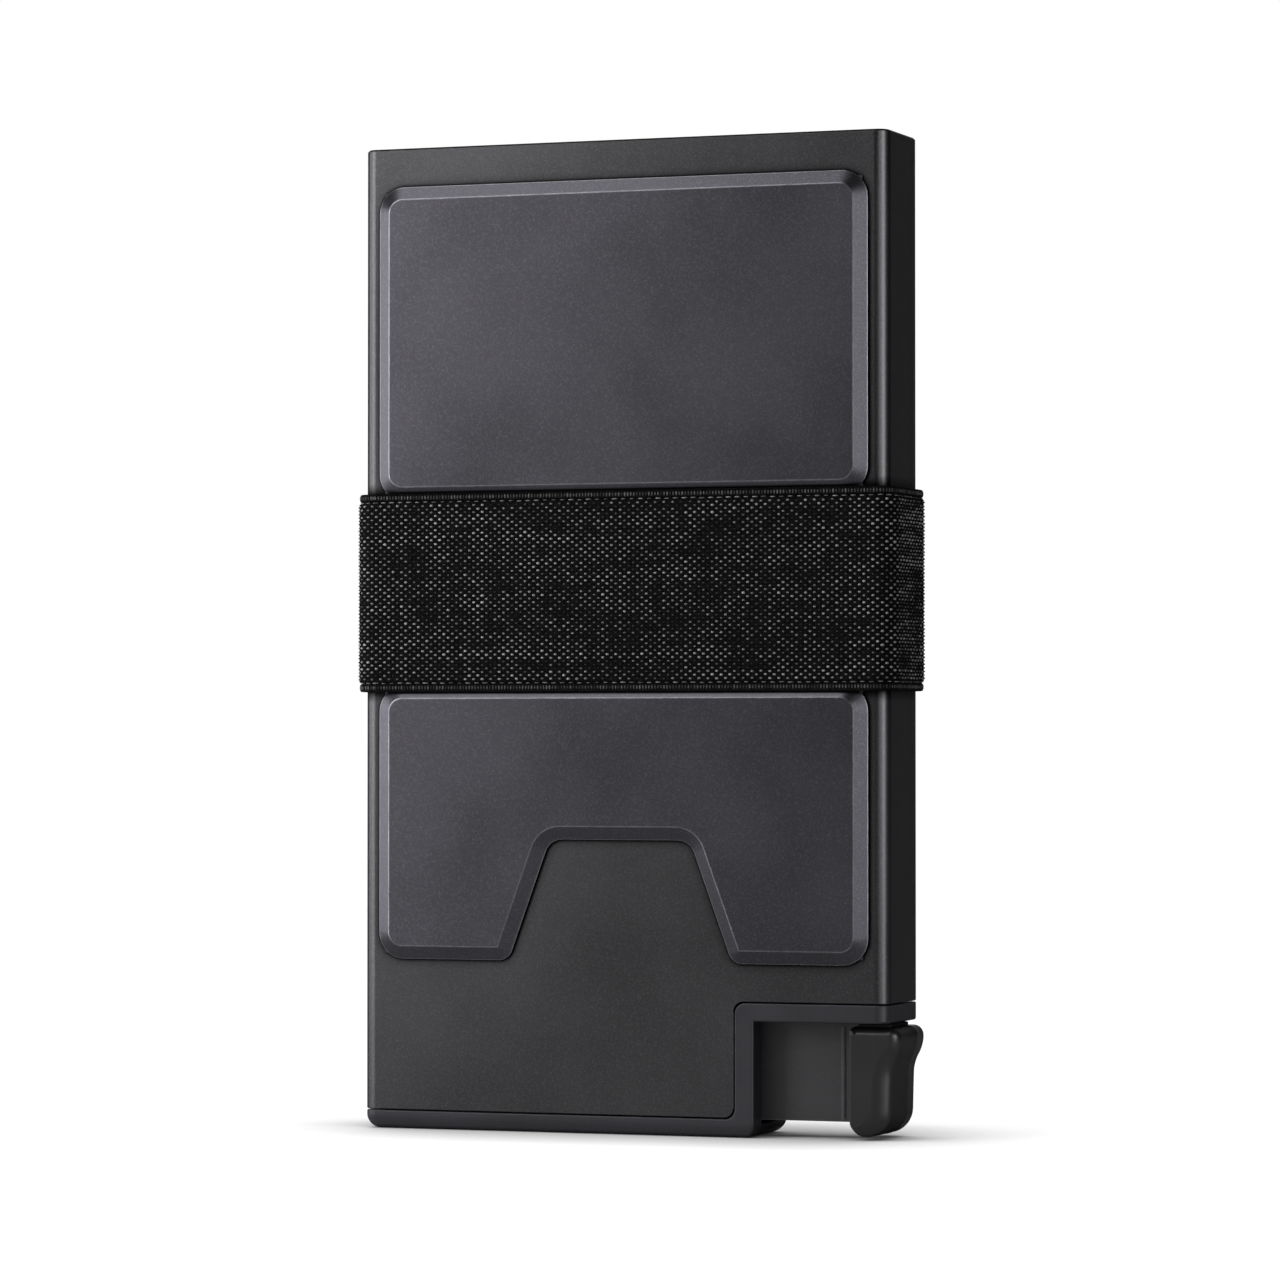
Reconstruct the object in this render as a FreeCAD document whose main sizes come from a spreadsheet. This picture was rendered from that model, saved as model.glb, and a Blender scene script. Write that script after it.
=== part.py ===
import FreeCAD, Part
import math
import os
import re
import Sketcher

# Card case with a squeeze trigger: an aluminium sleeve, open at the top, with two bevelled plates
# and an elastic band round it, and a spring-loaded lever that lifts the cards from below.
# Frame: +X to the right seen from the front, +Y to the back, +Z up.
# The origin is the centre of the case's bottom face. All sizes are millimetres.

# Driving dimensions: one plain number for each size that can be set by itself.
SIZES = {
    # sleeve
    "case_width": 59.0,
    "case_depth": 11.0,
    "case_height": 105.0,
    "side_wall": 1.8,
    "face_wall": 1.3,
    "case_corner": 1.4,
    "cavity_corner": 0.3,
    "mouth_bevel": 0.2,
    # trigger notch and the cap's strip round it
    "notch_width": 14.7,
    "notch_height": 12.2,
    "strip_foot": 1.95,
    "strip_side": 2.05,
    "strip_top": 1.9,
    "seam_gap": 0.12,
    "seam_corner": 1.1,
    "cap_corner": 1.5,
    "seam_bevel": 0.08,
    "notch_soften": 0.25,
    "spigot_height": 1.75,
    "insert_clearance": 0.1,
    # carrier and card rest
    "card_seat_rise": 4.2,
    "rest_width": 4.0,
    "block_width": 3.6,
    "block_height": 9.3,
    "end_wall": 1.1,
    "lug_depth": 0.5,
    "lug_height": 1.6,
    "lug_length": 4.0,
    "lug_clearance": 0.15,
    # lever
    "lever_thickness": 5.0,
    "slot_clearance": 0.45,
    "pivot_inset": 7.5,
    "pivot_rise": 1.8,
    "hub_radius": 2.2,
    "swing_limit": 25.0,
    "arm_thickness": 3.1,
    "arm_clearance": 0.6,
    "tip_clearance": 1.6,
    "head_length": 9.0,
    "step_count": 5.0,
    "step_drop": 2.0,
    "step_floor": 2.5,
    "web_overlap": 1.3,
    "web_rise": 1.8,
    "neck_width": 2.05,
    "rib_width": 0.3,
    "rib_proud": 0.15,
    "rib_inset": 1.1,
    # pin, bush and return spring
    "pin_radius": 1.0,
    "running_gap": 0.05,
    "fit_gap": 0.02,
    "bush_wall": 0.28,
    "coil_radius": 1.64,
    "wire_radius": 0.18,
    "coil_turns": 3.0,
    "coil_recess": 1.75,
    "leg_length": 0.8,
    "leg_bend": 0.34,
    # trigger grip
    "grip_inset": 4.5,
    "grip_depth": 9.6,
    "grip_rise": 0.35,
    "grip_gap": 0.45,
    "grip_lip": 1.0,
    "grip_draft": 0.2,
    "grip_left_round": 0.4,
    "grip_foot_round": 2.3,
    "grip_waist_round": 3.0,
    "lip_round": 1.08,
    "lip_height": 2.2,
    "lip_slope": 1.7,
    "tang_length": 2.4,
    "tang_thickness": 2.6,
    "tang_margin": 1.6,
    "grip_edge": 0.95,
    # bumpers
    "bumper_thickness": 1.6,
    "bumper_height": 4.0,
    "bumper_lift": 1.0,
    "stop_gap": 0.1,
    # screws
    "screw_radius": 0.8,
    "head_radius": 1.45,
    "head_depth": 0.65,
    "screw_length": 5.2,
    "socket_radius": 0.65,
    "screw_inset": 2.0,
    "screw_pitch": 4.0,
    # bevelled plates
    "plate_width": 55.0,
    "plate_thickness": 0.9,
    "plate_corner": 2.85,
    "plate_edge": 0.1,
    "bevel_width": 1.4,
    "face_soften": 0.15,
    "film_thickness": 0.15,
    "film_inset": 0.6,
    "upper_plate_top": 100.8,
    "upper_plate_foot": 67.2,
    "lower_plate_top": 47.4,
    "lower_plate_foot": 18.2,
    "cut_height": 12.85,
    "cut_top_width": 15.8,
    "cut_foot_width": 25.2,
    "cut_top_corner": 2.0,
    "cut_foot_corner": 1.55,
    # elastic band
    "band_lap": 0.72,
    "band_thickness": 0.95,
    "band_gap": 0.05,
    "seam_width": 12.0,
    "stitch_radius": 0.15,
    "stitch_length": 1.5,
    "stitch_pitch": 2.2,
    "stitch_inset": 1.5,
    # card springs and felt
    "leaf_length": 34.0,
    "leaf_width": 4.0,
    "leaf_thickness": 0.2,
    "leaf_bow": 0.5,
    "leaf_foot": 3.0,
    "leaf_drop": 42.0,
    "recess_depth": 0.45,
    "recess_margin": 0.5,
    "felt_length": 50.0,
    "felt_height": 8.0,
    "felt_thickness": 0.5,
    "felt_drop": 3.0,
}

# Sizes and places that follow from the driving ones.
DERIVED = {
    "half_width": "case_width / 2",
    "half_depth": "case_depth / 2",
    "cavity_half_width": "half_width - side_wall",
    "cavity_half_depth": "half_depth - face_wall",
    "insert_half_width": "cavity_half_width - insert_clearance",
    "insert_half_depth": "cavity_half_depth - insert_clearance",
    "notch_wall": "half_width - notch_width",
    "seam_wall": "notch_wall - strip_side",
    "seam_top": "notch_height + strip_top",
    "spigot_top": "strip_foot + spigot_height",
    "card_floor": "seam_top + card_seat_rise",
    "lever_half": "lever_thickness / 2",
    "slot_half": "lever_half + slot_clearance",
    "pivot_x": "half_width - pivot_inset",
    "pivot_z": "seam_top + pivot_rise",
    "web_left": "notch_wall - web_overlap",
    "grip_left": "half_width - grip_inset",
    "web_right": "grip_left - running_gap",
    "web_reach": "pivot_x - web_left",
    "web_fall": "pivot_z - web_rise",
    "web_tip": "pivot_x - web_reach * cos(swing_limit * 1deg) - web_fall * sin(swing_limit * 1deg)",
    "block_right": "web_tip - stop_gap - bumper_thickness",
    "block_left": "block_right - block_width",
    "block_middle": "block_right - block_width / 2",
    "block_top": "spigot_top + block_height",
    "carrier_right": "seam_wall - insert_clearance",
    "spigot_right": "block_right + bumper_thickness",
    "rest_right": "rest_width - insert_half_width",
    "rest_middle": "rest_width / 2 - insert_half_width",
    "arm_top": "card_floor - arm_clearance",
    "arm_bottom": "arm_top - arm_thickness",
    "arm_tip": "rest_right + tip_clearance",
    "head_right": "arm_tip + head_length",
    "head_half": "insert_half_depth - 3 * insert_clearance",
    "head_bottom": "arm_top - (step_count - 1) * step_drop - step_floor",
    "grip_top": "notch_height - grip_gap",
    "neck_foot": "grip_top + running_gap",
    "neck_right": "grip_left + neck_width",
    "slot_right": "neck_right + slot_clearance",
    "bore_radius": "pin_radius + running_gap",
    "bush_radius": "bore_radius + bush_wall",
    "recess_floor": "lever_half - coil_recess",
    "coil_pitch": "2 * wire_radius + fit_gap",
    "coil_start": "recess_floor + wire_radius + running_gap",
    "coil_end": "coil_start + coil_turns * coil_pitch",
    "lug_z": "spigot_top + block_height / 2",
    "bumper_foot": "spigot_top + bumper_lift",
    "plate_back": "half_depth + film_thickness",
    "plate_face": "plate_back + plate_thickness",
    "band_foot": "lower_plate_top - band_lap",
    "band_top": "upper_plate_foot + band_lap",
    "band_inner": "half_depth + band_gap",
    "band_outer": "band_inner + band_thickness",
    "leaf_middle": "case_height - leaf_drop",
    "felt_top": "case_height - felt_drop",
}

NEAR = 1e-3
Vector = FreeCAD.Vector

doc = FreeCAD.newDocument("card_case")
sheet = doc.addObject("Spreadsheet::Sheet", "sizes")
for row, (alias, number) in enumerate(SIZES.items(), 1):
    sheet.set(f"A{row}", alias)
    sheet.set(f"B{row}", str(number))
    sheet.setAlias(f"B{row}", alias)
doc.recompute()
SUB_PARTS = []


def bound(formula):
    """The formula with its derived names written out and its driving names pointed at the sheet."""
    def expand(match):
        word = match.group()
        if word in DERIVED:
            return f"({bound(DERIVED[word])})"
        return f"sizes.{word}" if word in SIZES else word
    return re.sub(r"[a-z][a-z_]+", expand, str(formula))


def value(formula):
    """The formula's number in millimetres or degrees."""
    return float(sheet.evalExpression(bound(formula)))


def keep(item, label):
    """Label a sub-part and list it for export."""
    item.Label = label
    SUB_PARTS.append(item)
    return item


# Sketches and features -----------------------------------------------------------------------


def new_sketch(body, role, offset):
    """An empty sketch on one of the body's origin planes, moved along its normal by offset."""
    sketch = body.newObject("Sketcher::SketchObject", "sketch")
    plane = next(item for item in body.Origin.OriginFeatures if item.Role == role)
    sketch.AttachmentSupport = [(plane, "")]
    sketch.MapMode = "FlatFace"
    sketch.setExpression("AttachmentOffset.Base.z", bound(offset))
    return sketch


def pin_down(sketch, index, corner, across, up):
    """Tie a point of a sketch to its distances from the sketch's origin."""
    for kind, formula in (("DistanceX", across), ("DistanceY", up)):
        number = value(formula)
        place = sketch.addConstraint(Sketcher.Constraint(kind, -1, 1, index, corner, number))
        sketch.setExpression(f"Constraints[{place}]", bound(formula))


def polygon(body, role, corners, offset=0):
    """A closed outline of straight edges; each corner is a pair of formulas."""
    sketch = new_sketch(body, role, offset)
    points = [Vector(value(across), value(up), 0) for across, up in corners]
    total = len(points)
    for index, point in enumerate(points):
        sketch.addGeometry(Part.LineSegment(point, points[(index + 1) % total]), False)
    for index in range(total):
        sketch.addConstraint(Sketcher.Constraint("Coincident", index, 2, (index + 1) % total, 1))
    for index, (across, up) in enumerate(corners):
        pin_down(sketch, index, 1, across, up)
    return sketch


def rectangle(body, role, left, right, low, high, offset=0):
    """A rectangle between four formulas."""
    corners = [(left, low), (right, low), (right, high), (left, high)]
    return polygon(body, role, corners, offset)


def circles(body, role, centres, radius, offset=0):
    """Circles of one radius at a list of centres."""
    sketch = new_sketch(body, role, offset)
    for index, (across, up) in enumerate(centres):
        centre = Vector(value(across), value(up), 0)
        sketch.addGeometry(Part.Circle(centre, Vector(0, 0, 1), value(radius)), False)
        pin_down(sketch, index, 3, across, up)
        place = sketch.addConstraint(Sketcher.Constraint("Radius", index, value(radius)))
        sketch.setExpression(f"Constraints[{place}]", bound(radius))
    return sketch


def pad(body, sketch, length, side="One side", backwards=False):
    """Grow the sketch into the body along its normal."""
    feature = body.newObject("PartDesign::Pad", "pad")
    feature.Profile = sketch
    feature.SideType = side
    feature.Reversed = backwards
    feature.setExpression("Length", bound(length))
    doc.recompute()
    return feature


def pocket(body, sketch, length, side="One side", backwards=False):
    """Cut the sketch out of the body, and stop if the cut misses it."""
    before = body.Shape.Volume
    feature = body.newObject("PartDesign::Pocket", "pocket")
    feature.Profile = sketch
    feature.SideType = side
    feature.Reversed = backwards
    feature.setExpression("Length", bound(length))
    doc.recompute()
    if body.Shape.Volume > before - NEAR:
        raise RuntimeError(f"a pocket in {body.Label} cuts nothing")
    return feature


def dress(body, kind, names, size_formula):
    """Fillet or chamfer the named edges of the body's tip."""
    base = body.Tip
    feature = body.newObject(f"PartDesign::{kind}", kind.lower())
    feature.Base = (base, names)
    feature.setExpression("Radius" if kind == "Fillet" else "Size", bound(size_formula))
    doc.recompute()
    return feature


def new_body(label):
    """An empty body for one sub-part."""
    return keep(doc.addObject("PartDesign::Body", label), label)


# Edge pickers --------------------------------------------------------------------------------


def pick(body, test):
    """Names of the edges of the body's tip that pass the test."""
    edges = body.Tip.Shape.Edges
    return [f"Edge{number}" for number, edge in enumerate(edges, 1) if test(edge)]


def runs_along(axis, **places):
    """Test for straight edges along one axis that pass through the given places."""
    others = [name for name in "XYZ" if name != axis]
    targets = {name.upper(): value(formula) for name, formula in places.items()}

    def test(edge):
        box = edge.BoundBox
        straight = all(getattr(box, f"{name}Length") < NEAR for name in others)
        centre = {"X": box.Center.x, "Y": box.Center.y, "Z": box.Center.z}
        return straight and all(abs(centre[name] - to) < NEAR for name, to in targets.items())
    return test


def any_of(tests):
    """Test for edges that pass one test or another."""
    return lambda edge: any(test(edge) for test in tests)


def at_corners(across, deep):
    """Test for the four upright edges at a given distance from the middle, across and deep."""
    signs = [(x, y) for x in (-1, 1) for y in (-1, 1)]
    return any_of([runs_along("Z", x=f"{x} * ({across})", y=f"{y} * ({deep})") for x, y in signs])


def lies_on(axis, formula):
    """Test for edges in one plane across an axis."""
    target = value(formula)

    def test(edge):
        box = edge.BoundBox
        return all(abs(getattr(box, f"{axis}{end}") - target) < NEAR for end in ("Min", "Max"))
    return test


# Sleeve and cap ------------------------------------------------------------------------------


def on_outside(grow):
    """Test for the outer edges of the stepped seam, lifted by grow, on the front, back and ends."""
    across = value(f"seam_wall - {grow}")
    levels = [value(f"strip_foot + {grow}"), value(f"seam_top + {grow}")]
    faces = value("half_depth")
    corner = value("case_corner")
    ends = value("half_width")

    def test(edge):
        box = edge.BoundBox
        level = box.ZLength < NEAR and any(abs(box.ZMin - level) < NEAR for level in levels)
        upright = box.XLength < NEAR and abs(box.XMin - across) < NEAR and box.YLength < NEAR
        turn = box.YLength < NEAR and box.XLength > NEAR and box.ZLength > NEAR
        reach_y = max(abs(box.YMin), abs(box.YMax))
        reach_x = max(abs(box.XMin), abs(box.XMax))
        outer = reach_y > faces - corner - NEAR or reach_x > ends - NEAR
        on_face = abs(reach_y - faces) < NEAR or abs(reach_x - ends) < NEAR
        return outer and on_face and (level or upright or turn) and box.ZMax < levels[1] + NEAR
    return test


def stepped_edge(grow):
    """The seam's corners from the left foot to the right end; grow lifts them to the sleeve's edge."""
    return [
        ("-half_width - 1", f"strip_foot + {grow}"),
        (f"seam_wall - {grow}", f"strip_foot + {grow}"),
        (f"seam_wall - {grow}", f"seam_top + {grow}"),
        ("half_width + 1", f"seam_top + {grow}"),
    ]


def make_case_tube():
    """Extruded sleeve, stepped at the foot, with recesses for the snap lugs and the card springs."""
    body = new_body("case_tube")
    outer = rectangle(body, "XY_Plane", "-half_width", "half_width", "-half_depth", "half_depth")
    pad(body, outer, "case_height")
    dress(body, "Fillet", pick(body, runs_along("Z")), "case_corner")
    inner = rectangle(
        body, "XY_Plane", "-cavity_half_width", "cavity_half_width",
        "-cavity_half_depth", "cavity_half_depth"
    )
    pocket(body, inner, "case_height", backwards=True)
    dress(body, "Fillet", pick(body, at_corners("cavity_half_width", "cavity_half_depth")), "cavity_corner")
    below = [("half_width + 1", "-1"), ("-half_width - 1", "-1")]
    foot = polygon(body, "XZ_Plane", stepped_edge("seam_gap") + below)
    pocket(body, foot, "case_depth + 2", "Symmetric")
    corners = [
        runs_along("Y", x="seam_wall - seam_gap", z="strip_foot + seam_gap"),
        runs_along("Y", x="seam_wall - seam_gap", z="seam_top + seam_gap"),
    ]
    dress(body, "Fillet", pick(body, any_of(corners)), "seam_corner")
    for side, height in ((-1, "lug_z"), (1, "card_floor - card_seat_rise / 2")):
        recess = rectangle(
            body, "YZ_Plane",
            "-lug_length / 2 - lug_clearance", "lug_length / 2 + lug_clearance",
            f"{height} - lug_height / 2 - lug_clearance", f"{height} + lug_height / 2 + lug_clearance",
            f"{side} * (cavity_half_width - 1)",
        )
        pocket(body, recess, "1 + lug_depth + lug_clearance", backwards=side > 0)
        leaf_seat = rectangle(
            body, "YZ_Plane",
            "-leaf_width / 2 - recess_margin", "leaf_width / 2 + recess_margin",
            "leaf_middle - leaf_length / 2 - recess_margin",
            "leaf_middle + leaf_length / 2 + recess_margin",
            f"{side} * (cavity_half_width - 1)",
        )
        pocket(body, leaf_seat, "1 + recess_depth", backwards=side > 0)
    dress(body, "Chamfer", pick(body, lies_on("Z", "case_height")), "mouth_bevel")
    dress(body, "Chamfer", pick(body, on_outside("seam_gap")), "seam_bevel")
    return body


def make_bottom_cap():
    """Moulded end cap: a stepped strip round the notch, a slot for the lever and a spigot."""
    body = new_body("bottom_cap")
    outer = rectangle(body, "XY_Plane", "-half_width", "half_width", "-half_depth", "half_depth")
    pad(body, outer, "seam_top")
    dress(body, "Fillet", pick(body, runs_along("Z")), "case_corner")
    sleeve_side = [
        ("-half_width - 1", "strip_foot"),
        ("seam_wall", "strip_foot"),
        ("seam_wall", "seam_top + 1"),
        ("-half_width - 1", "seam_top + 1"),
    ]
    pocket(body, polygon(body, "XZ_Plane", sleeve_side), "case_depth + 2", "Symmetric")
    notch = rectangle(body, "XZ_Plane", "notch_wall", "half_width + 1", "-1", "notch_height")
    pocket(body, notch, "case_depth + 2", "Symmetric")
    wall = value("notch_wall")
    roof = value("notch_height")

    def in_notch(edge):
        box = edge.BoundBox
        upright = box.XLength < NEAR and abs(box.XMin - wall) < NEAR and box.YLength < NEAR
        level = box.ZLength < NEAR and abs(box.ZMin - roof) < NEAR
        return upright or (level and box.XLength > NEAR) or (level and box.XMin > wall + NEAR)
    dress(body, "Fillet", pick(body, in_notch), "notch_soften")
    rounds = [
        (runs_along("Y", x="seam_wall", z="strip_foot"), "seam_corner"),
        (runs_along("Y", x="seam_wall", z="seam_top"), "seam_corner"),
        (runs_along("Y", x="notch_wall", z="0"), "cap_corner"),
    ]
    for test, radius in rounds:
        dress(body, "Fillet", pick(body, test), radius)
    dress(body, "Chamfer", pick(body, on_outside("0")), "seam_bevel")
    spigot = rectangle(
        body, "XY_Plane", "-insert_half_width", "spigot_right",
        "-insert_half_depth", "insert_half_depth", "strip_foot"
    )
    pad(body, spigot, "spigot_height")
    slot = [
        ("seam_wall - 2", "web_rise - slot_clearance"),
        ("notch_wall + 1", "web_rise - slot_clearance"),
        ("notch_wall + 1", "notch_height - 1"),
        ("slot_right", "notch_height - 1"),
        ("slot_right", "seam_top + 1"),
        ("seam_wall - 2", "seam_top + 1"),
    ]
    pocket(body, polygon(body, "XZ_Plane", slot), "2 * slot_half", "Symmetric")
    screws = [("block_middle", "0"), ("rest_middle", "0")]
    screw_holes = circles(body, "XY_Plane", screws, "screw_radius + fit_gap")
    pocket(body, screw_holes, "spigot_top + 1", backwards=True)
    heads = circles(body, "XY_Plane", screws, "head_radius + fit_gap")
    pocket(body, heads, "head_depth + fit_gap", backwards=True)
    return body


# Card rest and carrier -----------------------------------------------------------------------


def add_lug(body, side, height):
    """Snap lug on a block's outer face, which clicks into the sleeve's side wall."""
    section = rectangle(
        body, "YZ_Plane", "-lug_length / 2", "lug_length / 2",
        f"{height} - lug_height / 2", f"{height} + lug_height / 2", f"{side} * insert_half_width"
    )
    pad(body, section, "insert_clearance + lug_depth", backwards=side < 0)


def make_card_rest():
    """Block at the left end that the cards stand on."""
    body = new_body("card_rest")
    section = rectangle(
        body, "XY_Plane", "-insert_half_width", "rest_right",
        "-insert_half_depth", "insert_half_depth", "spigot_top"
    )
    pad(body, section, "card_floor - spigot_top")
    add_lug(body, -1, "lug_z")
    hole = circles(body, "XY_Plane", [("rest_middle", "0")], "screw_radius + fit_gap", "spigot_top")
    pocket(body, hole, "screw_length", backwards=True)
    return body


CHEEK = [
    ("block_left", "spigot_top"),
    ("carrier_right", "spigot_top"),
    ("carrier_right", "seam_top + fit_gap"),
    ("insert_half_width", "seam_top + fit_gap"),
    ("insert_half_width", "card_floor"),
    ("block_left", "card_floor"),
]
CARRIER_SCREWS = [
    ("block_middle", "block_top - screw_inset - screw_pitch"),
    ("block_middle", "block_top - screw_inset"),
]


def make_chassis_front():
    """Front cheek of the carrier: a flat plate with countersunk screw holes and the pin's hole."""
    body = new_body("chassis_front")
    pad(body, polygon(body, "XZ_Plane", CHEEK, "slot_half"), "insert_half_depth - slot_half")
    pin = circles(body, "XZ_Plane", [("pivot_x", "pivot_z")], "pin_radius + fit_gap", "insert_half_depth")
    pocket(body, pin, "case_depth")
    shanks = circles(body, "XZ_Plane", CARRIER_SCREWS, "screw_radius + fit_gap", "insert_half_depth")
    pocket(body, shanks, "case_depth")
    heads = circles(body, "XZ_Plane", CARRIER_SCREWS, "head_radius + fit_gap", "insert_half_depth")
    pocket(body, heads, "head_depth + fit_gap")
    return body


def make_chassis_rear():
    """Rear cheek with the block that joins the halves, the spring's anchor hole and a snap lug."""
    body = new_body("chassis_rear")
    cheek = polygon(body, "XZ_Plane", CHEEK, "-slot_half")
    pad(body, cheek, "insert_half_depth - slot_half", backwards=True)
    block = rectangle(body, "XZ_Plane", "block_left", "block_right", "spigot_top", "block_top", "slot_half")
    pad(body, block, "2 * slot_half", backwards=True)
    end_wall = rectangle(
        body, "XZ_Plane", "insert_half_width - end_wall", "insert_half_width", "seam_top + end_wall",
        "card_floor", "slot_half"
    )
    pad(body, end_wall, "2 * slot_half", backwards=True)
    add_lug(body, 1, "card_floor - card_seat_rise / 2")
    pin = circles(body, "XZ_Plane", [("pivot_x", "pivot_z")], "pin_radius + fit_gap")
    pocket(body, pin, "case_depth")
    anchor_place = [("pivot_x + coil_radius", "pivot_z - leg_bend")]
    anchor = circles(body, "XZ_Plane", anchor_place, "wire_radius + fit_gap")
    pocket(body, anchor, "case_depth")
    screws = circles(body, "XZ_Plane", CARRIER_SCREWS, "screw_radius + fit_gap", "slot_half")
    pocket(body, screws, "screw_length")
    foot = circles(body, "XY_Plane", [("block_middle", "0")], "screw_radius + fit_gap", "spigot_top - 1")
    pocket(body, foot, "1 + screw_length - spigot_top", backwards=True)
    return body


# Lever, pin, bush and spring -----------------------------------------------------------------


def make_eject_lever():
    """One-piece lever: hub, arm under the cards with a stair at its tip, and the web in the notch."""
    body = new_body("eject_lever")
    plate = [
        ("web_left", "web_rise"),
        ("web_right", "web_rise"),
        ("web_right", "neck_foot"),
        ("neck_right", "neck_foot"),
        ("neck_right", "seam_top"),
        ("pivot_x + hub_radius / 2", "arm_top"),
        ("head_right", "arm_top"),
        ("head_right", "arm_bottom"),
        ("web_left", "arm_bottom"),
    ]
    pad(body, polygon(body, "XZ_Plane", plate), "lever_thickness", "Symmetric")
    dress(body, "Fillet", pick(body, runs_along("Y", x="web_left", z="web_rise")), "web_overlap / 2")
    hub = circles(body, "XZ_Plane", [("pivot_x", "pivot_z")], "hub_radius")
    pad(body, hub, "lever_thickness", "Symmetric")
    tread = "(2 * head_half / step_count)"
    for step in range(int(SIZES["step_count"])):
        riser = rectangle(
            body, "XZ_Plane", "arm_tip", "head_right", "head_bottom",
            f"arm_top - {step} * step_drop", f"-head_half + {step} * {tread}"
        )
        pad(body, riser, tread)
    tang = rectangle(
        body, "XZ_Plane", "web_right - 1", "grip_left + tang_length", "web_rise + tang_margin / 2",
        "grip_top - tang_margin"
    )
    pad(body, tang, "tang_thickness", "Symmetric")
    rib = rectangle(
        body, "XZ_Plane", "grip_left - rib_inset - rib_width", "grip_left - rib_inset",
        "web_rise + rib_width", "grip_top"
    )
    pad(body, rib, "lever_thickness + 2 * rib_proud", "Symmetric")
    bore = circles(body, "XZ_Plane", [("pivot_x", "pivot_z")], "bush_radius + fit_gap")
    pocket(body, bore, "case_depth", "Symmetric")
    recess = circles(
        body, "XZ_Plane", [("pivot_x", "pivot_z")],
        "coil_radius + wire_radius + 2 * running_gap", "-recess_floor"
    )
    pocket(body, recess, "coil_recess + 1")
    leg_place = [("pivot_x + coil_radius", "pivot_z + leg_bend")]
    hole = circles(body, "XZ_Plane", leg_place, "wire_radius + fit_gap")
    pocket(body, hole, "2 * recess_floor", "Symmetric")
    return body


def make_pivot_pin():
    """Plain steel pin through both cheeks."""
    pin = keep(doc.addObject("Part::Cylinder", "pivot_pin"), "pivot_pin")
    pin.setExpression("Radius", bound("pin_radius"))
    pin.setExpression("Height", bound("2 * insert_half_depth"))
    pin.Placement = FreeCAD.Placement(Vector(), FreeCAD.Rotation(Vector(1, 0, 0), -90))
    pin.setExpression("Placement.Base.x", bound("pivot_x"))
    pin.setExpression("Placement.Base.y", bound("-insert_half_depth"))
    pin.setExpression("Placement.Base.z", bound("pivot_z"))
    return pin


def make_lever_bush():
    """Sleeve in the lever's hub, a little longer than the hub, that runs on the pin."""
    body = new_body("lever_bush")
    outside = circles(body, "XZ_Plane", [("pivot_x", "pivot_z")], "bush_radius")
    pad(body, outside, "2 * (slot_half - running_gap)", "Symmetric")
    inside = circles(body, "XZ_Plane", [("pivot_x", "pivot_z")], "bore_radius")
    pocket(body, inside, "case_depth", "Symmetric")
    return body


def make_return_spring():
    """Torsion spring round the bush: three coils, one leg bent into the lever, one into the cheek."""
    turns = value("coil_turns")
    pitch = value("coil_pitch")
    wire = value("wire_radius")
    radius = value("coil_radius")
    slope = math.atan2(pitch, 2 * math.pi * radius)
    bend = value("leg_bend") / (1 - math.sin(slope))

    def bend_point(centre, angle):
        return centre + Vector(0, bend * math.cos(angle), bend * math.sin(angle))
    start = Vector(radius, 0, 0)
    top = Vector(radius, 0, turns * pitch)
    to_centre = Vector(0, bend * math.sin(slope), -bend * math.cos(slope))
    low_centre = start + to_centre
    high_centre = top - to_centre
    low_foot = bend_point(low_centre, math.pi)
    low_middle = bend_point(low_centre, (3 * math.pi / 2 + slope) / 2)
    high_middle = bend_point(high_centre, (slope - math.pi / 2) / 2)
    high_foot = bend_point(high_centre, 0)
    depth_used = bend * math.cos(slope)
    low_end = low_foot - Vector(0, 0, value("leg_length") - depth_used)
    high_end = high_foot + Vector(0, 0, value("leg_length + slot_half - coil_end") - depth_used)
    path = Part.Wire([
        Part.makeLine(low_end, low_foot),
        Part.Arc(low_foot, low_middle, start).toShape(),
        Part.makeHelix(pitch, turns * pitch, radius).Edges[0],
        Part.Arc(top, high_middle, high_foot).toShape(),
        Part.makeLine(high_foot, high_end),
    ])
    section = Part.Wire(Part.Circle(low_end, Vector(0, 0, 1), wire).toShape())
    spring = keep(doc.addObject("Part::Feature", "return_spring"), "return_spring")
    spring.Shape = path.makePipeShell([section], True, False)
    centre = Vector(value("pivot_x"), value("coil_start"), value("pivot_z"))
    spring.Placement = FreeCAD.Placement(centre, FreeCAD.Rotation(Vector(1, 0, 0), -90))
    return spring


def make_trigger_grip():
    """Moulded finger grip with a rolled lip, pushed over the lever's tang."""
    body = new_body("trigger_grip")
    rounded_corners = [
        ("grip_left", "grip_rise", "grip_left_round"),
        ("half_width - grip_draft", "grip_rise", "grip_foot_round"),
        ("half_width", "grip_top - lip_height - lip_slope", "grip_waist_round"),
        ("half_width + grip_lip", "grip_top - lip_height", "lip_round"),
        ("half_width + grip_lip", "grip_top", "lip_round"),
    ]
    profile = [(across, up) for across, up, radius in rounded_corners] + [("grip_left", "grip_top")]
    pad(body, polygon(body, "XZ_Plane", profile), "grip_depth", "Symmetric")
    for across, up, radius in rounded_corners:
        dress(body, "Fillet", pick(body, runs_along("Y", x=across, z=up)), radius)
    half = value("grip_depth / 2")
    left = value("grip_left")

    def soft_edge(edge):
        box = edge.BoundBox
        on_face = abs(abs(box.Center.y) - half) < NEAR and box.YLength < NEAR
        return on_face and not (box.XLength < NEAR and abs(box.Center.x - left) < NEAR)
    dress(body, "Fillet", pick(body, soft_edge), "grip_edge")
    socket = rectangle(
        body, "XZ_Plane", "grip_left - 1", "grip_left + tang_length + running_gap",
        "web_rise + tang_margin / 2 - fit_gap", "grip_top - tang_margin + fit_gap"
    )
    pocket(body, socket, "tang_thickness + 2 * fit_gap", "Symmetric")
    return body


# Bumpers and screws --------------------------------------------------------------------------


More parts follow.
